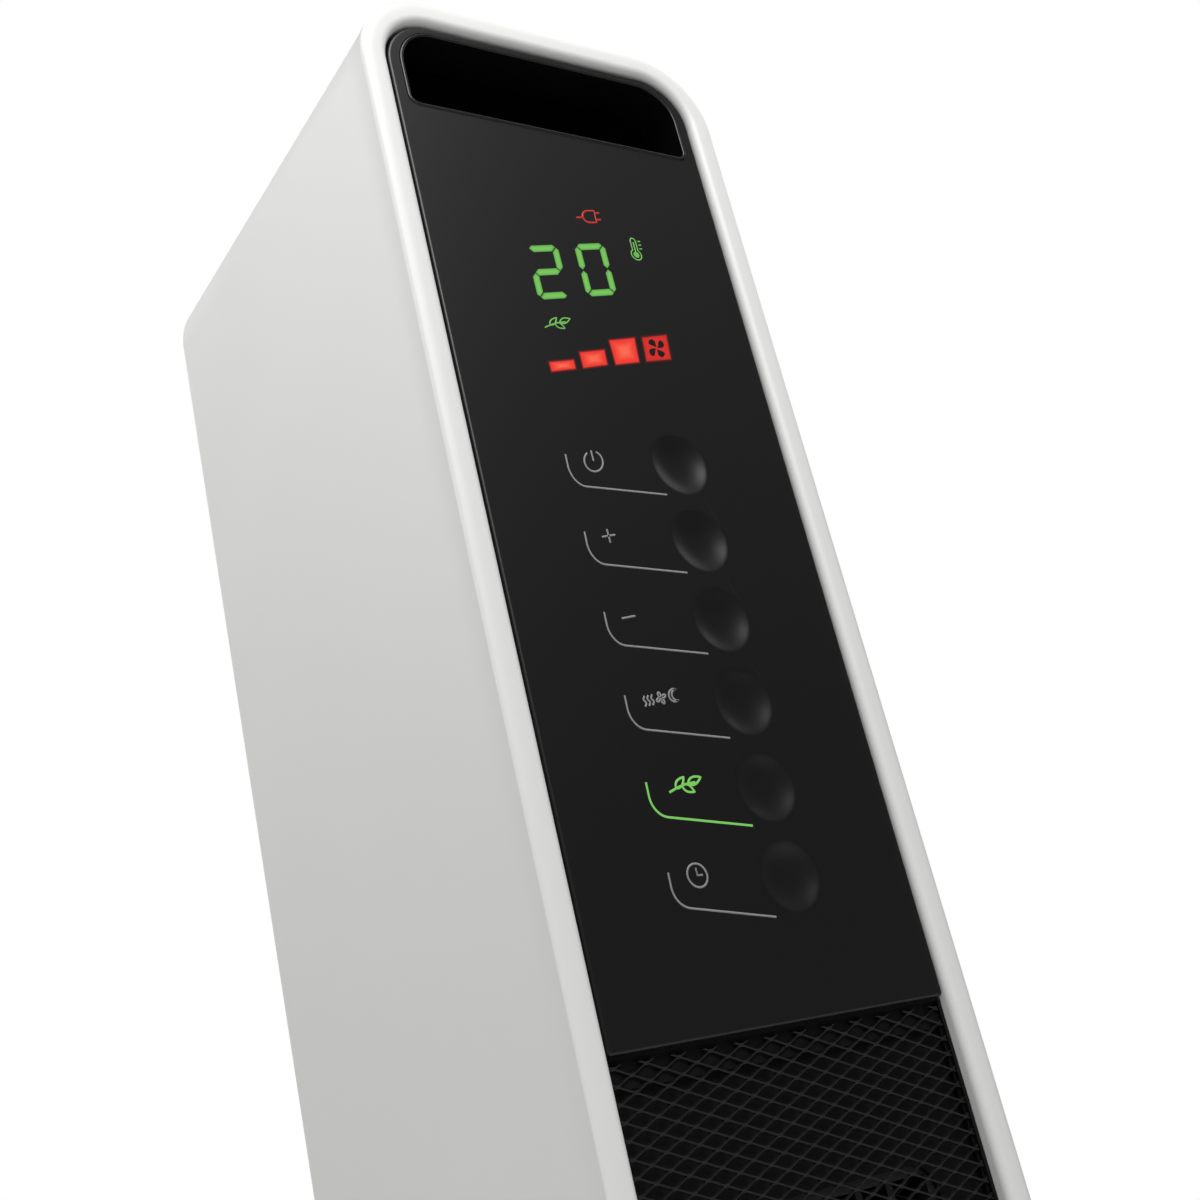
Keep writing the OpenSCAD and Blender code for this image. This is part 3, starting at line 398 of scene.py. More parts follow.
def mend(piece, fill=False):
    """Turns a grown piece's faces outwards, its cut ends closed first where fill says so."""
    bm = bmesh.new()
    bm.from_mesh(piece.data)
    if fill:
        bmesh.ops.holes_fill(bm, edges=[e for e in bm.edges if e.is_boundary], sides=6)
    bmesh.ops.recalc_face_normals(bm, faces=bm.faces)
    bm.to_mesh(piece.data)
    bm.free()


long_pitch, short_pitch, half_bond = 11.2 * mm, 4.75 * mm, 0.8 * mm
strand, gauge, lean = 0.55 * mm, 0.8 * mm, math.radians(28)
across = Vector((0, -math.sin(lean), math.cos(lean)))
through = Vector((0, math.cos(lean), math.sin(lean)))
# One bond, where four strands meet: an upper and a lower arm, each through six stations
stations = [(-1, 1.0), (-1, 0.45), (-1, 0.0), (1, 0.0), (1, 0.45), (1, 1.0)]
meeting = (2, 3)
bm = bmesh.new()
for arm in (1, -1):
    rows = []
    for side, t in stations:
        x = side * (half_bond + (long_pitch / 4 - half_bond) * t)
        near = across * (arm * strand / 2)
        far = Vector((0, 0, arm * short_pitch / 4))
        middle = Vector((x, 0, 0)) + near.lerp(far, t)
        rows.append([bm.verts.new(middle + across * (a * strand / 2) + through * (b * gauge / 2))
                     for a, b in ((1, -1), (1, 1), (-1, 1), (-1, -1))])
    shared_side = 2 if arm == 1 else 0
    for a, b in zip(range(5), range(1, 6)):
        for k in range(4):
            if k == shared_side and (a, b) == meeting:
                continue
            bm.faces.new((rows[a][k], rows[a][(k + 1) % 4], rows[b][(k + 1) % 4], rows[b][k]))
bond = built("bond_of_four_strands", bm, angle=0)

# Bonds stand on two grids, of which the second is a column wider and lies half a row higher
tree, given, result = node_tree("expanded_sheet",
                                ["Long Pitch", "Short Pitch", "Half Width", "Low", "High", "Depth"],
                                ["Columns", "Rows"], ["Bond"])
even = add(tree, "GeometryNodeMeshGrid", {"Vertices X": given["Columns"], "Vertices Y": given["Rows"]})
span_x = add(tree, "ShaderNodeMath", {0: given["Columns"], 1: 1.0}, operation="SUBTRACT")
size_x = add(tree, "ShaderNodeMath", {0: span_x.outputs[0], 1: given["Long Pitch"]}, operation="MULTIPLY")
span_z = add(tree, "ShaderNodeMath", {0: given["Rows"], 1: 1.0}, operation="SUBTRACT")
size_z = add(tree, "ShaderNodeMath", {0: span_z.outputs[0], 1: given["Short Pitch"]}, operation="MULTIPLY")
tree.links.new(size_x.outputs[0], even.inputs["Size X"])
tree.links.new(size_z.outputs[0], even.inputs["Size Y"])
more = add(tree, "ShaderNodeMath", {0: given["Columns"], 1: 1.0}, operation="ADD")
wide = add(tree, "ShaderNodeMath", {0: given["Columns"], 1: given["Long Pitch"]}, operation="MULTIPLY")
odd = add(tree, "GeometryNodeMeshGrid", {"Vertices X": more.outputs[0], "Vertices Y": given["Rows"],
                                         "Size X": wide.outputs[0], "Size Y": size_z.outputs[0]})
half_z = add(tree, "ShaderNodeMath", {0: given["Short Pitch"], 1: 0.5}, operation="MULTIPLY")
lift = add(tree, "ShaderNodeCombineXYZ", {"Y": half_z.outputs[0]})
raised = add(tree, "GeometryNodeTransform", {"Geometry": odd.outputs["Mesh"], "Translation": lift.outputs[0]})
both = add(tree, "GeometryNodeJoinGeometry")
tree.links.new(even.outputs["Mesh"], both.inputs[0])
tree.links.new(raised.outputs["Geometry"], both.inputs[0])
base = add(tree, "ShaderNodeMath", {0: size_z.outputs[0], 1: 0.5}, operation="MULTIPLY")
start = add(tree, "ShaderNodeMath", {0: base.outputs[0], 1: given["Low"]}, operation="ADD")
start_z = add(tree, "ShaderNodeMath", {0: start.outputs[0], 1: half_z.outputs[0]}, operation="ADD")
origin = add(tree, "ShaderNodeCombineXYZ", {"Y": given["Depth"], "Z": start_z.outputs[0]})
upright = add(tree, "GeometryNodeTransform", {"Geometry": both.outputs[0], "Translation": origin.outputs[0],
                                              "Rotation": (math.pi / 2, 0, 0)})
unit = add(tree, "GeometryNodeObjectInfo", {"Object": given["Bond"]})
bonds = add(tree, "GeometryNodeInstanceOnPoints",
            {"Points": upright.outputs[0], "Instance": unit.outputs["Geometry"]})
solid = add(tree, "GeometryNodeRealizeInstances", {"Geometry": bonds.outputs[0]})
welded = add(tree, "GeometryNodeMergeByDistance", {"Geometry": solid.outputs[0], "Distance": 0.02 * mm})
# What stands past the sheet's edges is pressed flat onto them
spot = add(tree, "ShaderNodeSeparateXYZ", {0: add(tree, "GeometryNodeInputPosition").outputs[0]})
left_edge = add(tree, "ShaderNodeMath", {0: given["Half Width"], 1: -1.0}, operation="MULTIPLY")
kept_x = add(tree, "ShaderNodeClamp",
             {"Value": spot.outputs["X"], "Min": left_edge.outputs[0], "Max": given["Half Width"]})
kept_z = add(tree, "ShaderNodeClamp",
             {"Value": spot.outputs["Z"], "Min": given["Low"], "Max": given["High"]})
kept = add(tree, "ShaderNodeCombineXYZ",
           {"X": kept_x.outputs[0], "Y": spot.outputs["Y"], "Z": kept_z.outputs[0]})
cut = add(tree, "GeometryNodeSetPosition", {"Geometry": welded.outputs[0], "Position": kept.outputs[0]})
coated = add(tree, "GeometryNodeSetMaterial", {"Geometry": cut.outputs[0], "Material": given["Finish"]})
tree.links.new(coated.outputs[0], result[0])

mesh_low, mesh_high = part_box("front_mesh")
sheet_middle = mesh_low.y + 0.9 * mm
columns, rows = 11, 48
grille = grown("expanded_metal_grille", tree, Long_Pitch=long_pitch, Short_Pitch=short_pitch,
               Half_Width=mesh_high.x, Low=mesh_low.z, High=mesh_high.z, Depth=sheet_middle,
               Columns=columns, Rows=rows, Bond=bond, Finish=mesh_coat)
bpy.data.objects.remove(bond)
mend(grille, fill=True)
dress(grille, mesh_coat, "housing", ["front_mesh"])

# -------------------------------------------------------------- control panel
# One sheet of near-black ABS with softened edges clips in over the upper front. Six round
# holes take the keys, and four posts behind carry the key board.

# Moulded ABS, satin: near black with a faint grey sheen. Its fine grain is drawn at 0.45 mm.
satin_black, tree, shader = finish("satin_black_abs", "#0e0e0f", 0.34, IOR=1.5)
place = add(tree, "ShaderNodeTexCoord").outputs["Object"]
grain = add(tree, "ShaderNodeTexNoise", {"Vector": place, "Scale": 2200, "Detail": 2})
relief = add(tree, "ShaderNodeBump",
             {"Height": grain.outputs["Fac"], "Strength": 0.25, "Distance": 0.03 * mm})
tree.links.new(relief.outputs["Normal"], shader.inputs["Normal"])

KEYS = ["power", "plus", "minus", "mode", "eco", "timer"]
key_at = {}
for key in KEYS:
    low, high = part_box("key_" + key)
    key_at[key] = Vector(((low.x + high.x) / 2, 0, (low.z + high.z) / 2))
panel_low, panel_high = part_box("control_panel")
face = panel_low.y
panel_w = panel_high.x - panel_low.x
panel_top_r, panel_bottom_r, panel_t, panel_edge = (v * mm for v in (19.1, 1.2, 2.8, 0.9))
hole_r, flat = 12.0 * mm, 0.5 * mm
grip_w, grip_low, grip_high, grip_top_r, grip_bottom_r = (v * mm for v in (116.2, 575.0, 605.9, 14.6, 3))
collar, fit = 1.4 * mm, 0.15 * mm


def circle(x, z, r, count):
    angles = [math.tau * k / count for k in range(count)]
    return [Vector((x + r * math.cos(a), z + r * math.sin(a))) for a in angles]


def filled(bm, rings, borders):
    """Faces between an outer ring and the rings inside it, which lie along the borders."""
    corners = [v for ring in rings for v in ring]
    for a, b, c in tessellate_polygon([[Vector((p.x, p.y, 0)) / mm for p in border] for border in borders]):
        bm.faces.new((corners[a], corners[b], corners[c]))


def sheet(bm, borders, y):
    """A flat face at depth y between an outer border and the holes inside it."""
    rings = [[bm.verts.new((p.x, y, p.y)) for p in border] for border in borders]
    filled(bm, rings, borders)
    return rings


def panel_line(inset):
    return outline(panel_w, panel_low.z, panel_high.z, panel_top_r, panel_bottom_r, inset, rest=flat)


bm = bmesh.new()
mouth = collar + fit
grip_line = outline(grip_w + 2 * mouth, grip_low - mouth, grip_high + mouth,
                    grip_top_r + collar, grip_bottom_r + collar, rest=flat)
holes = [circle(key_at[key].x, key_at[key].z, hole_r, 96) for key in KEYS] + [grip_line]
fronts = sheet(bm, [panel_line(panel_edge + 0.2 * mm)] + holes, face)
backs = sheet(bm, [panel_line(0)] + holes, face + panel_t)
rounding = [(panel_edge, 0)] + arc(panel_edge, panel_edge, panel_edge, 270, 180, 8)[1:]
rings = [fronts[0]]
for inset, v in rounding + [(0, panel_edge + 0.3 * mm)]:
    rings.append([bm.verts.new((p.x, face + v, p.y)) for p in panel_line(inset)])
for a, b in zip(rings, rings[1:] + [backs[0]]):
    band(bm, a, b)
for a, b in zip(fronts[1:], backs[1:]):
    band(bm, a, b)
dress(built("satin_black_panel", bm), satin_black, "housing", ["control_panel"])

# Each key is a cap with a soft dish for a fingertip, so close in its hole that panel and keys
# look like one sheet. A flange behind the panel holds it, and its stem works a push switch.
dish_r, dish_depth, cap_r, cap_edge = 11.3 * mm, 1.9 * mm, 11.97 * mm, 0.2 * mm
flange_r, flange_front, flange_back, stem_r, draft = (v * mm for v in (13.4, 2.9, 4.2, 1.7, 0.05))
dish_steps = 36
for key in KEYS:
    low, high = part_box("key_" + key)
    centre = key_at[key]
    length = high.y - low.y
    profile = []
    for k in range(dish_steps + 1):
        share = k / dish_steps
        profile.append((dish_r * share, dish_depth * (1 - share ** 2.6) ** 1.35))
    profile += [(cap_r - cap_edge, 0), (cap_r, 0), (cap_r, flange_front), (flange_r, flange_front + draft),
                (flange_r, flange_back), (stem_r, flange_back + draft), (stem_r, length), (0, length)]
    rings = []
    for r, v in profile:
        rings.append([Vector((p.x, face + v, p.y)) for p in circle(centre.x, centre.z, r, 96)])
    cap = skin("dished_key_" + key, rings, closed=False)
    dress(cap, satin_black, "key_" + key + "_cap", ["key_" + key])

# ---------------------------------------------------------------- grip pocket
# A deep cup of black ABS set through the panel's top, with a thin bright-edged collar proud
# of the panel and a hook inside its upper edge for the fingers.

# Polished black ABS: the collar takes a thin hard line of light round the dark opening.
gloss_black, tree, shader = finish("polished_black_abs", "#0b0b0c", 0.28, IOR=1.54)
place = add(tree, "ShaderNodeTexCoord").outputs["Object"]
haze = add(tree, "ShaderNodeTexNoise", {"Vector": place, "Scale": 90, "Detail": 2})
sheen = add(tree, "ShaderNodeMapRange", {"Value": haze.outputs["Fac"], "To Min": 0.22, "To Max": 0.34})
tree.links.new(sheen.outputs["Result"], shader.inputs["Roughness"])

pocket_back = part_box("handle_pocket")[1].y
proud, lip, hook, skin_t, hook_depth = (v * mm for v in (0.3, 0.5, 5, 1.4, 17))
crest, floor_y = face - proud, pocket_back - skin_t
quarter = [math.radians(a) for a in (0, 22.5, 45, 67.5, 90)]
# How far in from the opening, how deep, and how far the upper edge rises behind the hook
stops = [(-collar, face + 2.9 * mm, 0), (-collar, crest + lip, 0)]
stops += [(-collar + lip * (1 - math.cos(a)), crest + lip * (1 - math.sin(a)), 0) for a in quarter[1:]]
stops += [(-lip + lip * math.sin(a), crest + lip * (1 - math.cos(a)), 0) for a in quarter]
hook_back = face + hook_depth
stops += [(0, hook_back - 0.3 * mm, 0), (0, hook_back, 0), (0, hook_back, hook),
          (0, hook_back + 0.3 * mm, hook), (0, floor_y - 0.5 * mm, hook), (0, floor_y, hook)]
rings = []
for inset, y, rise in stops:
    line = outline(grip_w, grip_low, grip_high + rise, grip_top_r, grip_bottom_r, inset, rest=flat)
    rings.append([Vector((p.x, y, p.y)) for p in line])
pocket = skin("grip_pocket", rings, closed=False, cap_last=True)
dress(pocket, gloss_black, "housing", ["handle_pocket"])

# ------------------------------------------------------------------ key board
# Behind the panel a green printed board on four posts carries six push switches and a black
# light box, whose nine cells keep the light of one sign out of the next.

# Glass-cloth epoxy under solder resist: glossy green, its buried copper tracks a shade lighter.
laminate, tree, shader = finish("solder_masked_glass_epoxy", "#1c5232", 0.3, IOR=1.55)
place = add(tree, "ShaderNodeTexCoord").outputs["Object"]
facing = add(tree, "ShaderNodeMapping", {"Vector": place, "Rotation": (math.pi / 2, 0, 0)})
tracks = add(tree, "ShaderNodeTexBrick",
             {"Vector": facing.outputs[0], "Color1": colour("#1c5232"), "Color2": colour("#184a2c"),
              "Mortar": colour("#3c7d50"), "Scale": 1.0, "Mortar Size": 0.4 * mm,
              "Brick Width": 11 * mm, "Row Height": 2.3 * mm}, offset=0.37)
tree.links.new(tracks.outputs["Color"], shader.inputs["Base Color"])

# Moulded glass-filled PBT of the switches and the light box: dense black with a dry, even face.
black_pbt, tree, shader = finish("moulded_black_pbt", "#1a1a1b", 0.6, IOR=1.55)
place = add(tree, "ShaderNodeTexCoord").outputs["Object"]
dry = add(tree, "ShaderNodeTexNoise", {"Vector": place, "Scale": 1100, "Detail": 3})
sheen = add(tree, "ShaderNodeMapRange", {"Value": dry.outputs["Fac"], "To Min": 0.5, "To Max": 0.7})
tree.links.new(sheen.outputs["Result"], shader.inputs["Roughness"])

dress(nodes["control_board"], laminate)
dress(nodes["tact_switches"], black_pbt)
dress(nodes["display_module"], black_pbt)

# ----------------------------------------------------------------- lit display
# The signs shine through thinned places in the black sheet: two seven-stroke digits, four
# bars, a plug, a thermometer and a small sprig. They stand upright but climb to the right.

# Light through near-black ABS: the sheet's own satin face, lit from behind where a mask is open,
# brightest in the middle of a sign and fading out over its edge.
LIGHTS = {"green_lit_black_abs": ("#74c358", ((0.35, "#17350f"), (0.75, "#5a9f42"))),
          "red_lit_black_abs": ("#fa7050", ((0.3, "#4d0805"), (0.6, "#cf1f18"), (0.8, "#f23a2c")))}
lights = []
for name, (full, between) in LIGHTS.items():
    light, tree, shader = finish(name, "#0e0e0f", 0.34, IOR=1.5, Emission_Strength=1.0)
    shine = add(tree, "ShaderNodeAttribute", attribute_name="glow").outputs["Fac"]
    tone = add(tree, "ShaderNodeValToRGB", {"Fac": shine})
    tone.color_ramp.elements[0].color = colour("#000000")
    tone.color_ramp.elements[1].color = colour(full)
    for stop, hex_code in between:
        tone.color_ramp.elements.new(stop).color = colour(hex_code)
    tree.links.new(tone.outputs["Color"], shader.inputs["Emission Color"])
    lights.append(light)
green_light, red_light = lights

film = 0.03 * mm
climb = 0.2


def shifted(border, d):
    """An anticlockwise border moved outwards by d, its corners mitred."""
    moved = []
    for i, p in enumerate(border):
        a = (p - border[i - 1]).normalized()
        b = (border[(i + 1) % len(border)] - p).normalized()
        n = Vector((a.y + b.y, -a.x - b.x)).normalized()
        moved.append(p + n * d / max(0.45, n.dot(Vector((a.y, -a.x)))))
    return moved


def patch(bm, loops, proud=film):
    """A closed film on the sheet's face through (border, glow) loops, from outside inwards."""
    glow = bm.verts.layers.float.get("glow") or bm.verts.layers.float.new("glow")
    rings = []
    layers = [(loops[0][0], 0, face + film)] + [(border, lit, face - proud) for border, lit in loops]
    for border, lit, y in layers:
        rings.append([bm.verts.new((p.x, y, p.y)) for p in border])
        for v in rings[-1]:
            v[glow] = lit
    for a, b in zip(rings, rings[1:]):
        band(bm, a, b)
    filled(bm, rings[:1], [loops[0][0]])
    filled(bm, rings[-1:], [loops[-1][0]])


# A digit's width and height, its strokes' breadth, the cut of their corners, and its middle
w, h, t, c = (v * mm for v in (13.9, 22.0, 3.0, 2.4))
m = h / 2
strokes = {
    "a": [(c / 2, h - c / 2), (t, h - t), (w - t, h - t), (w - c / 2, h - c / 2), (w - c, h), (c, h)],
    "b": [(w - c / 2, h - c / 2), (w - t, h - t), (w - t, m + t / 2), (w - t / 2, m), (w, m + t / 2),
          (w, h - c)],
    "f": [(c / 2, h - c / 2), (0, h - c), (0, m + t / 2), (t / 2, m), (t, m + t / 2), (t, h - t)],
    "g": [(t / 2, m), (t, m - t / 2), (w - t, m - t / 2), (w - t / 2, m), (w - t, m + t / 2), (t, m + t / 2)],
}
for low_one, high_one in (("d", "a"), ("c", "b"), ("e", "f")):
    strokes[low_one] = [(x, h - z) for x, z in reversed(strokes[high_one])]
digit_z = 504.7 * mm
# How far in from a stroke's edge, in mm, and how bright it is there
fade = [(0.03, 0.0), (0.27, 0.78), (0.75, 0.92), (1.2, 1.0)]
bm = bmesh.new()
for left, shown in ((-26.3 * mm, "abged"), (-5.65 * mm, "abcdef")):
    for name in shown:
        border = [Vector((left + x, digit_z + z + climb * (left + x))) for x, z in strokes[name]]
        patch(bm, [(shifted(border, -inwards * mm), lit) for inwards, lit in fade])
dress(built("lit_digits", bm, angle=30), green_light, "housing")

# Each bar's four corners from its upper left round, in mm, and how bright its middle is
bars = [((-28.1, 475.3), (-28.0, 471.6), (-17.8, 473.8), (-17.8, 477.3), 1.0),
        ((-14.7, 480.6), (-14.7, 474.4), (-4.2, 476.8), (-3.9, 482.8), 1.0),
        ((-0.9, 486.9), (-0.7, 477.2), (9.8, 479.4), (10.5, 489.3), 1.0),
        ((13.7, 489.9), (12.9, 479.9), (24.4, 482.1), (25.2, 492.4), 0.62)]


def divided(corners, steps=6):
    """A four-sided border with each side in small steps."""
    return [corners[i].lerp(corners[(i + 1) % 4], k / steps) for i in range(4) for k in range(steps)]


bm = bmesh.new()
for *corners, most in bars:
    corners = [Vector(p) * mm for p in corners]
    border = divided(corners)
    middle = sum(border, Vector((0, 0))) / len(border)
    inner = divided(shifted(corners, -0.3 * mm))
    outer = divided(shifted(corners, 0.75 * mm))
    loops = [(outer, 0.0), (border, 0.42 * most), (inner, 0.72 * min(most + 0.15, 1))]
    for s in (0.8, 0.6, 0.4, 0.2):
        lit = 0.72 + (1 - s) * 0.3 if most == 1 else most
        loops.append(([middle.lerp(p, s) for p in inner], lit))
    patch(bm, loops)
dress(built("lit_bars", bm, angle=30), red_light, "housing")

# The last bar carries a four-bladed fan as an opaque print over the light. A blade's edge is
# given by distance from the fan's middle, in mm, and angle.
fan_x, fan_z, fan_turn = 19.1, 486.1, 12
blade = [(0.3, 0), (1.5, -14), (2.9, -12), (3.9, 2), (4.25, 22), (3.9, 42), (2.7, 46), (1.3, 34)]
bm = bmesh.new()
for k in range(4):
    border = []
    for r, degrees in blade:
        a = math.radians(degrees + 90 * k + fan_turn)
        x, z = r * math.cos(a), r * math.sin(a)
        border.append(Vector((fan_x + x, fan_z + z + climb * x)) * mm)
    patch(bm, [(border, 0.0)], proud=2 * film)
dress(built("printed_fan_mask", bm, angle=0), satin_black, "housing")

# -------------------------------------------------------------- printed legends
# Beside each key a thin bracket and a sign are pad-printed in grey. The fifth pair is an open
# mask instead, and shines green while the heater saves power.

# Pad-printing ink: flat mid grey, very slightly uneven where the pad has pressed it out.
grey_ink, tree, shader = finish("pad_printed_grey_ink", "#8c8c8c", 0.5, IOR=1.5)
place = add(tree, "ShaderNodeTexCoord").outputs["Object"]
spread = add(tree, "ShaderNodeTexNoise", {"Vector": place, "Scale": 700, "Detail": 2})
tone = add(tree, "ShaderNodeValToRGB", {"Fac": spread.outputs["Fac"]})
tone.color_ramp.elements[0].color = colour("#868686")
tone.color_ramp.elements[1].color = colour("#949494")
tree.links.new(tone.outputs["Color"], shader.inputs["Base Color"])

line_tree, given, result = node_tree("line_on_a_face", ["Stroke", "Film", "Face", "Glow"], (), ["Path"])
drawn = add(line_tree, "GeometryNodeObjectInfo", {"Object": given["Path"]})
curve = add(line_tree, "GeometryNodeMeshToCurve", {"Mesh": drawn.outputs["Geometry"]})
level = add(line_tree, "GeometryNodeSetCurveNormal", {"Curve": curve.outputs[0]}, mode="Z_UP")
flat_bar = add(line_tree, "GeometryNodeCurvePrimitiveQuadrilateral",
               {"Width": given["Stroke"], "Height": given["Film"]})
ribbon = add(line_tree, "GeometryNodeCurveToMesh",
             {"Curve": level.outputs[0], "Profile Curve": flat_bar.outputs[0], "Fill Caps": True})
marked = add(line_tree, "GeometryNodeStoreNamedAttribute",
             {"Geometry": ribbon.outputs[0], "Name": "glow", "Value": given["Glow"]},
             data_type="FLOAT", domain="POINT")
place_y = add(line_tree, "ShaderNodeCombineXYZ", {"Y": given["Face"]})
stood = add(line_tree, "GeometryNodeTransform",
            {"Geometry": marked.outputs[0], "Translation": place_y.outputs[0],
             "Rotation": (math.pi / 2, 0, 0)})
whole = add(line_tree, "GeometryNodeRealizeInstances", {"Geometry": stood.outputs[0]})
inked = add(line_tree, "GeometryNodeSetMaterial", {"Geometry": whole.outputs[0], "Material": given["Finish"]})
line_tree.links.new(inked.outputs[0], result[0])


def drawn_lines(name, lines, width, material, glow=0.0):
    """Ribbons of one width along (points, closed) lines, given in mm as x and z, on the face."""
    bm = bmesh.new()
    for points, closed in lines:
        verts = [bm.verts.new((x * mm, z * mm, 0)) for x, z in points]
        for a, b in zip(verts, verts[1:] + (verts[:1] if closed else [])):
            bm.edges.new((a, b))
    path = built(name + "_path", bm, angle=0)
    piece = grown(name, line_tree, Stroke=width * mm, Film=2 * film, Face=face, Glow=glow, Path=path,
                  Finish=material)
    bpy.data.objects.remove(path)
    mend(piece)
    dress(piece, material, "housing")


def sloped(cx, cz, slope, points):
    """Points given about a sign's middle, put in place so that they climb by the slope."""
    return [(cx + x, cz + z + slope * x) for x, z in points]


def smooth(points, steps=8):
    """A round line through the points."""
    line = []
    ends = [points[0]] + list(points) + [points[-1]]
    for p0, p1, p2, p3 in zip(ends, ends[1:], ends[2:], ends[3:]):
        for k in range(steps):
            s = k / steps
            line.append(tuple(0.5 * (2 * b + (c - a) * s + (2 * a - 5 * b + 4 * c - d) * s ** 2
                                     + (3 * b - a - 3 * c + d) * s ** 3)
                              for a, b, c, d in zip(p0, p1, p2, p3)))
    return line + [points[-1]]


def turned(x, z, degrees, points):
    """Points turned about the origin and then moved by x and z."""
    a = math.radians(degrees)
    return [(x + u * math.cos(a) - v * math.sin(a), z + u * math.sin(a) + v * math.cos(a)) for u, v in points]


def leaf(x, z, length, breadth, degrees):
    """A pointed leaf's edge, from its stalk outwards and back."""
    edge = [(length * k / 10, breadth / 2 * math.sin(math.pi * (k / 10) ** 0.8)) for k in range(11)]
    edge += [(u, -v) for u, v in reversed(edge[1:-1])]
    return turned(x, z, degrees, edge)


# A bracket falls from its top, bends round a soft corner and runs on under the key. Down the
# row the tops and corners lie higher beside their keys, and the ends further left.
brackets = []
bend_steps = 15
for i, key in enumerate(KEYS):
    z = key_at[key].z / mm
    top = z + 0.7 + 0.85 * i
    corner = Vector((-25.2 + 0.06 * i, z - 10.7 + 0.9 * i))
    end = Vector((6.6 - 0.2 * i, z - 11.9))
    down = Vector((-30.6 + 0.07 * i, top - 4.6))
    run = (end - corner).normalized()
    bend = []
    for k in range(1, bend_steps):
        s = k / bend_steps
        bend.append(tuple(down * (1 - s) ** 3 + (down + Vector((0.1, -3.4))) * 3 * s * (1 - s) ** 2
                          + (corner - run * 3.2) * 3 * s ** 2 * (1 - s) + corner * s ** 3))
    brackets.append([(down.x + 0.15, top), tuple(down)] + bend + [tuple(corner), tuple(end)])

# The signs climb less and less down the row
slopes = dict(zip(KEYS, (0.19, 0.185, 0.167, 0.14, 0.08, -0.03)))
power, plus, minus, timer = (-20.0, 438.8), (-21.4, 411.9), (-21.5, 383.7), (-19.8, 300.7)
signs = [(line, False) for key, line in zip(KEYS, brackets) if key != "eco"]
signs += [(sloped(*power, slopes["power"], arc(0, 0, 3.7, 118, 422, 32)), False),
          (sloped(*power, 0, [(0, 0.2), (0, 4.1)]), False),
          (sloped(*plus, slopes["plus"], [(-2.7, 0), (2.7, 0)]), False),
          (sloped(*plus, 0, [(0.05, -2.4), (-0.05, 2.4)]), False),
          (sloped(*minus, slopes["minus"], [(-2.7, 0), (2.7, 0)]), False),
          (sloped(*timer, slopes["timer"], arc(0, 0, 3.6, 0, 352, 32)), True),
          (sloped(*timer, 0, [(0, 2.3), (0, 0), (2.0, 0)]), False)]
# The three ways of running: warm air, plain fan and night
mode_z = 356.7
wave = [(-0.3, -1.7), (0.35, -0.6), (-0.35, 0.6), (0.3, 1.7)]
for dx in (-1.5, 0, 1.5):
    heat = sloped(-21.7, mode_z - 0.85, slopes["mode"], [(dx + x, z) for x, z in wave])
    signs.append((smooth(heat), False))
petal = [(1.2 + 0.85 * math.cos(math.tau * n / 12), 0.5 * math.sin(math.tau * n / 12)) for n in range(12)]
for k in range(4):
    signs.append((sloped(-16.8, mode_z - 0.15, slopes["mode"], turned(0, 0, 90 * k + 20, petal)), True))
moon = arc(0, 0, 2.1, 60, 300, 16) + arc(0.95, 0, 1.85, 280, 80, 12)
signs.append((sloped(-11.5, mode_z + 0.65, slopes["mode"], moon), True))
drawn_lines("grey_legends", signs, 0.66, grey_ink)

# A sprig of three leaves stands for saving power, by its key and small on the display
small = 0.86
sprig = [(smooth([(-6.2, -1.6), (-2.0, -0.4), (1.4, 0.1), (4.4, 0.2)]), False),
         (leaf(-3.4, -0.7, 5.0, 2.2, 38), True),
         (leaf(-0.9, -0.1, 5.0, 2.2, -32), True),
         (leaf(1.5, 0.1, 5.6, 2.4, 14), True)]
lit = [(sloped(-16.3, 328.6, slopes["eco"], line), closed) for line, closed in sprig]
lit.append((brackets[KEYS.index("eco")], False))
drawn_lines("lit_saving_legend", lit, 0.72, green_light, glow=1.0)
lit = [(sloped(-21.0, 491.3, climb, [(small * x, small * z) for x, z in line]), closed)
       for line, closed in sprig]

# The thermometer is a tube on a bulb, with its column inside and three ticks at its right
tube_x, tube_z, bulb_z = 21.55, 531.3, 525.3
glass = [(22.7, 527.4), (22.7, 531.2)] + arc(tube_x, tube_z, 1.1, 30, 150, 4) + [(20.4, 531.2), (20.4, 527.3)]
glass += arc(tube_x, bulb_z, 2.2, -238, 58, 20)
lit.append((glass, True))
lit += [([(23.6, z), (24.9, z + 0.3)], False) for z in (531.3, 529.7, 528.1)]
lit.append(([(tube_x, 526.1), (tube_x, 530.7)], False))
drawn_lines("lit_display_signs", lit, 0.46, green_light, glow=0.9)
bm = bmesh.new()
patch(bm, [(circle(tube_x * mm, bulb_z * mm, 1.25 * mm, 20), 0.9)])
dress(built("lit_thermometer_bulb", bm, angle=0), green_light, "housing")

# The plug is a cord, a rounded body and two pins
plug_body = [(2.9, 2.5), (0, 2.5)] + arc(-0.2, 0, 2.5, 90, 270, 10) + [(0, -2.5), (2.9, -2.5)]
plug = [([(-1.2, 537.3), (2.1, 538.0)], False), (sloped(4.5, 538.7, climb, plug_body), True),
        ([(7.5, 540.7), (9.6, 541.2)], False), ([(7.5, 537.8), (9.6, 538.3)], False)]
drawn_lines("lit_plug_sign", plug, 0.7, red_light, glow=0.52)

# ------------------------------------------------------------------ rear cover
# A black ABS cover closes the sleeve's back on six bosses. Slanting louvres let air in low
# down, through a woven screen in its frame, and a small thermistor feels the room beside it.

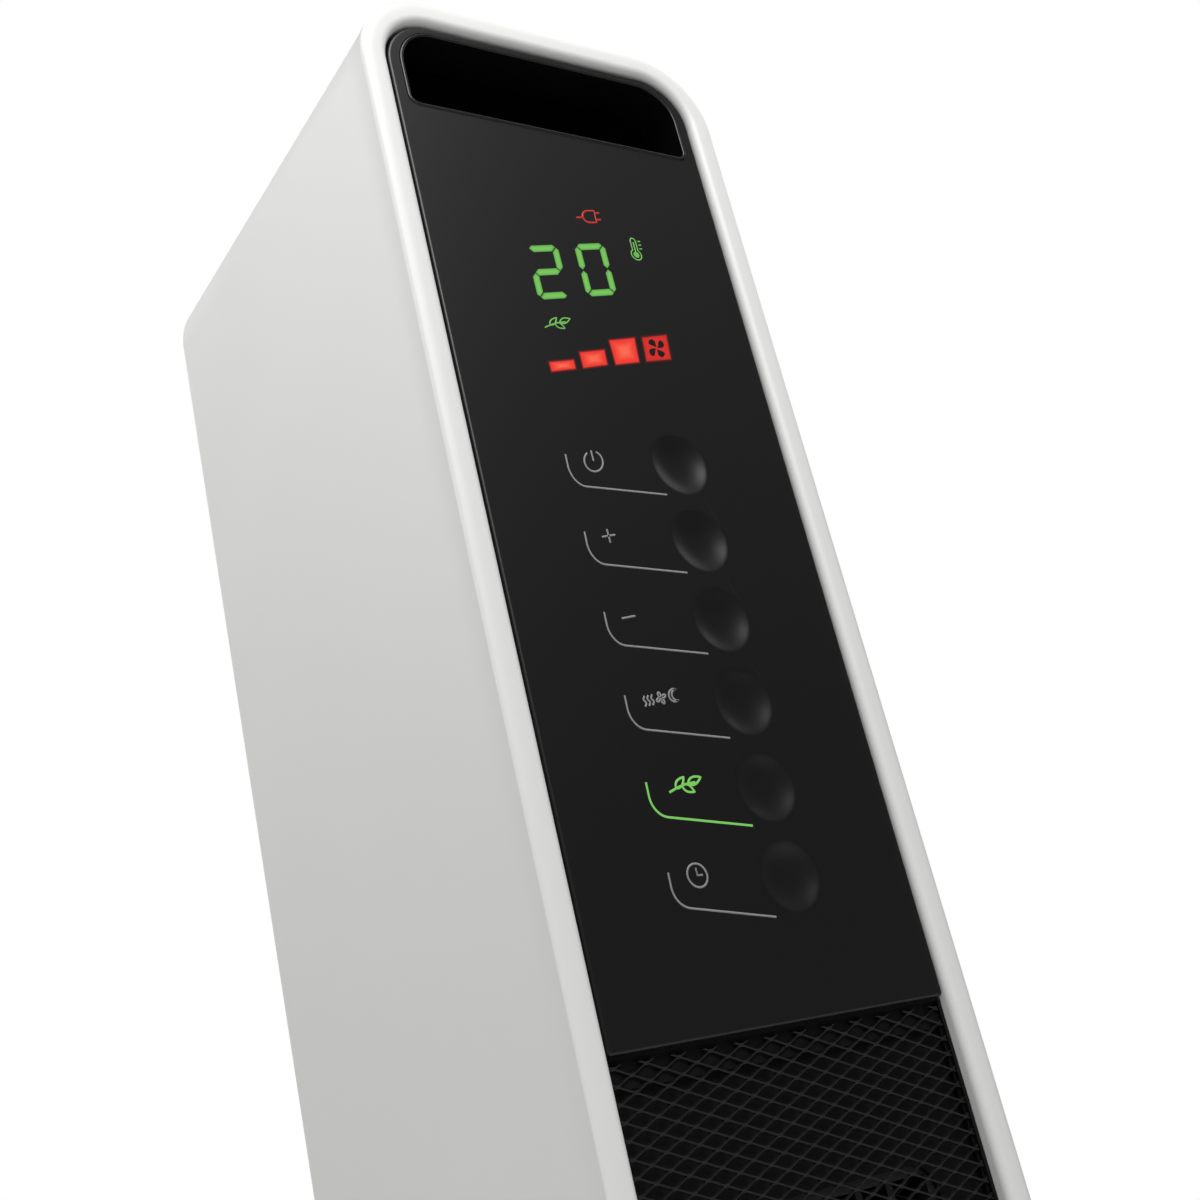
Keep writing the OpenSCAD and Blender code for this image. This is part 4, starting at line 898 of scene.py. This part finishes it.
# Woven polyester screen: dark grey threads 0.4 mm apart, drawn at 1.2 mm so that they show.
woven_screen, tree, shader = finish("woven_polyester_screen", "#3b3d40", 0.7, IOR=1.5)
place = add(tree, "ShaderNodeTexCoord").outputs["Object"]
warp = add(tree, "ShaderNodeTexWave", {"Vector": place, "Scale": 130}, bands_direction="X")
weft = add(tree, "ShaderNodeTexWave", {"Vector": place, "Scale": 130}, bands_direction="Z")
cloth = add(tree, "ShaderNodeMath", {0: warp.outputs["Fac"], 1: weft.outputs["Fac"]}, operation="MAXIMUM")
tone = add(tree, "ShaderNodeValToRGB", {"Fac": cloth.outputs[0]})
tone.color_ramp.elements[0].color = colour("#18191a")
tone.color_ramp.elements[1].color = colour("#5c5f63")
relief = add(tree, "ShaderNodeBump", {"Height": cloth.outputs[0], "Strength": 0.6, "Distance": 0.1 * mm})
tree.links.new(tone.outputs["Color"], shader.inputs["Base Color"])
tree.links.new(relief.outputs["Normal"], shader.inputs["Normal"])

# Dipped epoxy bead and its clip: a glassy black drop.
bead, tree, shader = finish("dipped_black_epoxy", "#151515", 0.2, IOR=1.55)
place = add(tree, "ShaderNodeTexCoord").outputs["Object"]
runs = add(tree, "ShaderNodeTexNoise", {"Vector": place, "Scale": 300, "Detail": 1})
sheen = add(tree, "ShaderNodeMapRange", {"Value": runs.outputs["Fac"], "To Min": 0.12, "To Max": 0.28})
tree.links.new(sheen.outputs["Result"], shader.inputs["Roughness"])

dress(nodes["rear_cover"], black_abs)
dress(nodes["dust_filter"], woven_screen)
dress(nodes["room_sensor"], bead)

# ---------------------------------------------------------------- mains switch
# A snap-in rocker switch of black polyamide sits in the rear cover beside the bush for the
# cord. Its rocker is moulded in tinted red polycarbonate.

# Moulded polyamide 66: black, a little greasy, with a faint orange-peel.
black_nylon, tree, shader = finish("moulded_black_polyamide", "#141414", 0.42, IOR=1.53)
place = add(tree, "ShaderNodeTexCoord").outputs["Object"]
peel = add(tree, "ShaderNodeTexNoise", {"Vector": place, "Scale": 500, "Detail": 2})
relief = add(tree, "ShaderNodeBump", {"Height": peel.outputs["Fac"], "Strength": 0.25, "Distance": 0.05 * mm})
tree.links.new(relief.outputs["Normal"], shader.inputs["Normal"])

# Tinted polycarbonate: glossy signal red with depth to it, darker in slow clouds.
red_pc, tree, shader = finish("tinted_red_polycarbonate", "#b3161a", 0.18, IOR=1.585)
place = add(tree, "ShaderNodeTexCoord").outputs["Object"]
cloud = add(tree, "ShaderNodeTexNoise", {"Vector": place, "Scale": 120, "Detail": 2})
tone = add(tree, "ShaderNodeValToRGB", {"Fac": cloud.outputs["Fac"]})
tone.color_ramp.elements[0].color = colour("#9c1116")
tone.color_ramp.elements[1].color = colour("#c41c20")
tree.links.new(tone.outputs["Color"], shader.inputs["Base Color"])

dress(nodes["switch_body"], black_nylon)
dress(nodes["switch_rocker"], red_pc)
dress(nodes["cord_grommet"], black_nylon)

# ----------------------------------------------------------------- power board
# Above the switch a brown laminate board on four posts carries three sealed relays and the
# finned sink of the part that switches the heater.

# Paper-phenolic laminate: a flat toffee brown with darker fibres, bare on its far side.
phenolic, tree, shader = finish("paper_phenolic_laminate", "#7a5628", 0.45, IOR=1.6)
place = add(tree, "ShaderNodeTexCoord").outputs["Object"]
streak = add(tree, "ShaderNodeMapping", {"Vector": place, "Scale": (60, 60, 900)})
pulp = add(tree, "ShaderNodeTexNoise", {"Vector": streak.outputs["Vector"], "Scale": 1, "Detail": 4})
tone = add(tree, "ShaderNodeValToRGB", {"Fac": pulp.outputs["Fac"]})
tone.color_ramp.elements[0].color = colour("#694820")
tone.color_ramp.elements[1].color = colour("#8b6634")
tree.links.new(tone.outputs["Color"], shader.inputs["Base Color"])

# Sealed relay cases of blue PBT: satin, with the mould's slow shading.
blue_pbt, tree, shader = finish("moulded_blue_pbt", "#2b50a0", 0.35, IOR=1.55)
place = add(tree, "ShaderNodeTexCoord").outputs["Object"]
shade = add(tree, "ShaderNodeTexNoise", {"Vector": place, "Scale": 150, "Detail": 1})
sheen = add(tree, "ShaderNodeMapRange", {"Value": shade.outputs["Fac"], "To Min": 0.28, "To Max": 0.42})
tree.links.new(sheen.outputs["Result"], shader.inputs["Roughness"])

# Extruded aluminium, left as it came from the die: pale metal with fine lines along its length.
extruded, tree, shader = finish("extruded_aluminium", "#c3c5c8", 0.35, Metallic=1.0)
place = add(tree, "ShaderNodeTexCoord").outputs["Object"]
die = add(tree, "ShaderNodeMapping", {"Vector": place, "Scale": (3000, 3000, 20)})
lines = add(tree, "ShaderNodeTexNoise", {"Vector": die.outputs["Vector"], "Scale": 1, "Detail": 2})
sheen = add(tree, "ShaderNodeMapRange", {"Value": lines.outputs["Fac"], "To Min": 0.25, "To Max": 0.5})
tree.links.new(sheen.outputs["Result"], shader.inputs["Roughness"])

dress(nodes["power_board"], phenolic)
dress(nodes["relays"], blue_pbt)
dress(nodes["heat_sink"], extruded)

# --------------------------------------------------------------------- screws
# Self-tapping pan-head screws with a cross recess hold every board, cover and casing. Those of
# the rear cover are blackened, the others bright zinc. Each set grows from one turned blank.

# Black zinc on steel: dark and slightly oily, rubbed to grey in places.
black_zinc, tree, shader = finish("black_zinc_steel", "#2a2a2c", 0.35, Metallic=1.0)
place = add(tree, "ShaderNodeTexCoord").outputs["Object"]
rub = add(tree, "ShaderNodeTexNoise", {"Vector": place, "Scale": 900, "Detail": 3})
tone = add(tree, "ShaderNodeValToRGB", {"Fac": rub.outputs["Fac"]})
tone.color_ramp.elements[0].color = colour("#1d1d1f")
tone.color_ramp.elements[1].color = colour("#4a4b4e")
tree.links.new(tone.outputs["Color"], shader.inputs["Base Color"])

screw_tree, given, result = node_tree("cross_recessed_screws", ["Recess", "Slot"], ["Seed"],
                                      ["Blank", "Spots"], ["Turn"])
cross = add(screw_tree, "GeometryNodeObjectInfo", {"Object": given["Blank"]}).outputs["Geometry"]
deep = add(screw_tree, "ShaderNodeMath", {0: given["Recess"], 1: 0.8}, operation="MULTIPLY").outputs[0]
for long_way, short_way in (("X", "Y"), ("Y", "X")):
    size = add(screw_tree, "ShaderNodeCombineXYZ",
               {long_way: given["Recess"], short_way: given["Slot"], "Z": deep})
    bar = add(screw_tree, "GeometryNodeMeshCube", {"Size": size.outputs[0]})
    cross = add(screw_tree, "GeometryNodeMeshBoolean", {"Mesh 1": cross, "Mesh 2": bar.outputs[0]},
                operation="DIFFERENCE").outputs[0]
spots = add(screw_tree, "GeometryNodeObjectInfo", {"Object": given["Spots"]})
spin = add(screw_tree, "FunctionNodeRandomValue",
           {2: 0.0, 3: math.tau, "Seed": given["Seed"]}, data_type="FLOAT")
about = add(screw_tree, "ShaderNodeCombineXYZ", {"Z": spin.outputs[1]})
put = add(screw_tree, "GeometryNodeInstanceOnPoints",
          {"Points": spots.outputs["Geometry"], "Instance": cross, "Rotation": given["Turn"]})
spun = add(screw_tree, "GeometryNodeRotateInstances",
           {"Instances": put.outputs[0], "Rotation": about.outputs[0]})
whole = add(screw_tree, "GeometryNodeRealizeInstances", {"Geometry": spun.outputs[0]})
plated = add(screw_tree, "GeometryNodeSetMaterial",
             {"Geometry": whole.outputs[0], "Material": given["Finish"]})
screw_tree.links.new(plated.outputs[0], result[0])


def solids(node):
    """The lowest and highest corner of each separate solid in a CAD node."""
    bm = bmesh.new()
    bm.from_mesh(nodes[node].data)
    bmesh.ops.remove_doubles(bm, verts=bm.verts, dist=1e-6)
    left, boxes = set(bm.verts), []
    while left:
        todo, found = [left.pop()], []
        while todo:
            v = todo.pop()
            found.append(v.co.copy())
            for e in v.link_edges:
                other = e.other_vert(v)
                if other in left:
                    left.remove(other)
                    todo.append(other)
        boxes.append([Vector(pick(p[k] for p in found) for k in range(3)) for pick in (min, max)])
    bm.free()
    return sorted(boxes, key=lambda box: tuple(box[0]))


# Which way each set's heads look, head height and shank radius in mm
SCREWS = {"frame_screws": ((0, 1, 0), 2.0, 1.25), "casing_screws": ((0, 1, 0), 1.8, 1.25),
          "board_screws": ((0, 1, 0), 1.8, 1.15), "power_screws": ((0, -1, 0), 1.8, 1.15),
          "cover_screws": ((0, 1, 0), 1.7, 1.35), "motor_screws": ((0, 0, 1), 2.0, 1.25),
          "foot_screws": ((0, 0, -1), 2.2, 1.55)}
# The turn that brings +Z to where the heads look
TURNS = {(0, 1, 0): (-math.pi / 2, 0, 0), (0, -1, 0): (math.pi / 2, 0, 0),
         (0, 0, 1): (0, 0, 0), (0, 0, -1): (math.pi, 0, 0)}
# A pan head from its middle out and down, in shares of its radius and of its height
PAN_HEAD = ((0, 0), (0.35, 0), (0.7, -0.05), (0.88, -0.2), (0.97, -0.42), (1.0, -0.65), (1.0, -1.0))
thread_pitch, thread_depth, neck, point_length = (v * mm for v in (0.9, 0.28, 0.6, 2.2))
for order, (name, (axis, head_h, shank_r)) in enumerate(SCREWS.items()):
    boxes = solids(name)
    low, high = boxes[0]
    length = abs((high - low).dot(Vector(axis)))
    head_r = (high - low).x / 2
    head_h, shank_r = head_h * mm, shank_r * mm
    thread_top = -head_h - neck
    profile = [(head_r * x, head_h * z) for x, z in PAN_HEAD] + [(shank_r, -head_h), (shank_r, thread_top)]
    for k in range(int((length - head_h - point_length) / thread_pitch)):
        z = thread_top - k * thread_pitch
        profile += [(shank_r - thread_depth, z - 0.3 * mm), (shank_r, z - 0.75 * mm),
                    (shank_r, z - thread_pitch)]
    profile += [(shank_r * 0.25, -length + 0.05 * mm), (0, -length)]
    rings = [[Vector((p.x, p.y, z)) for p in circle(0, 0, r, 32)] for r, z in profile]
    blank = skin(name + "_blank", rings, closed=False)
    bm = bmesh.new()
    for low, high in boxes:
        bm.verts.new((low + high) / 2 + Vector(axis) * length / 2)
    spots = built(name + "_spots", bm, angle=0)
    metal, slot = (black_zinc, "black_steel") if name == "cover_screws" else (zinc_steel, "steel")
    made = grown("turned_" + name, screw_tree, Recess=head_r * 1.15, Slot=0.42 * head_r / 1.6, Seed=order,
                 Blank=blank, Spots=spots, Turn=TURNS[axis], Finish=metal)
    bpy.data.objects.remove(blank)
    bpy.data.objects.remove(spots)
    made.data.polygons.foreach_set("use_smooth", [True] * len(made.data.polygons))
    made.data.set_sharp_from_angle(angle=math.radians(30))
    dress(made, metal, "housing", [name])

# --------------------------------------------------------------------- studio
# A pale seamless floor and three broad soft lamps: the strongest high in front, one behind at
# the left for the casing's side, and a weaker one high at the right for the far edge.

# Matt seamless paper: pale grey, with the faint tooth of its fibres drawn at 3 mm.
pale_floor, tree, shader = finish("matt_pale_paper", "#d2d2d0", 0.9)
place = add(tree, "ShaderNodeTexCoord").outputs["Object"]
fibre = add(tree, "ShaderNodeTexNoise", {"Vector": place, "Scale": 300, "Detail": 2})
relief = add(tree, "ShaderNodeBump", {"Height": fibre.outputs["Fac"], "Strength": 0.1, "Distance": 0.1 * mm})
tree.links.new(relief.outputs["Normal"], shader.inputs["Normal"])

bm = bmesh.new()
bmesh.ops.create_grid(bm, x_segments=1, y_segments=1, size=1.5)
floor = built("studio_floor", bm)
floor.data.materials.append(pale_floor)


def softbox(name, place, aim, side, power):
    """A square lamp of that side, turned to face its aim."""
    lamp = bpy.data.lights.new(name, "AREA")
    lamp.size = side
    lamp.energy = power
    holder = bpy.data.objects.new(name, lamp)
    facing = (Vector(aim) - Vector(place)).to_track_quat("-Z", "Y").to_matrix().to_4x4()
    holder.matrix_world = Matrix.Translation(place) @ facing
    bpy.context.scene.collection.objects.link(holder)


softbox("front_softbox", (-0.2, -0.9, 1.3), (0, -0.09, 0.5), 0.9, 16)
softbox("side_softbox", (-0.9, 0.42, 1.1), (0, 0, 0.5), 0.9, 8.2)
softbox("right_softbox", (1.0, 0.1, 1.5), (0, 0, 0.45), 1.2, 4.5)

# The room itself gives little light, and stands white only as the backdrop
world = bpy.data.worlds.new("studio")
bpy.context.scene.world = world
world.use_nodes = True
sky = world.node_tree
seen = add(sky, "ShaderNodeLightPath")
dim = sky.nodes["Background"]
dim.inputs["Color"].default_value = colour("#ffffff")
dim.inputs["Strength"].default_value = 0.11
plain = add(sky, "ShaderNodeBackground", {"Color": colour("#ffffff"), "Strength": 1.0})
either = add(sky, "ShaderNodeMixShader",
             {0: seen.outputs["Is Camera Ray"], 1: dim.outputs[0], 2: plain.outputs[0]})
sky.links.new(either.outputs[0], sky.nodes["World Output"].inputs["Surface"])
bpy.context.scene.view_settings.view_transform = "Standard"
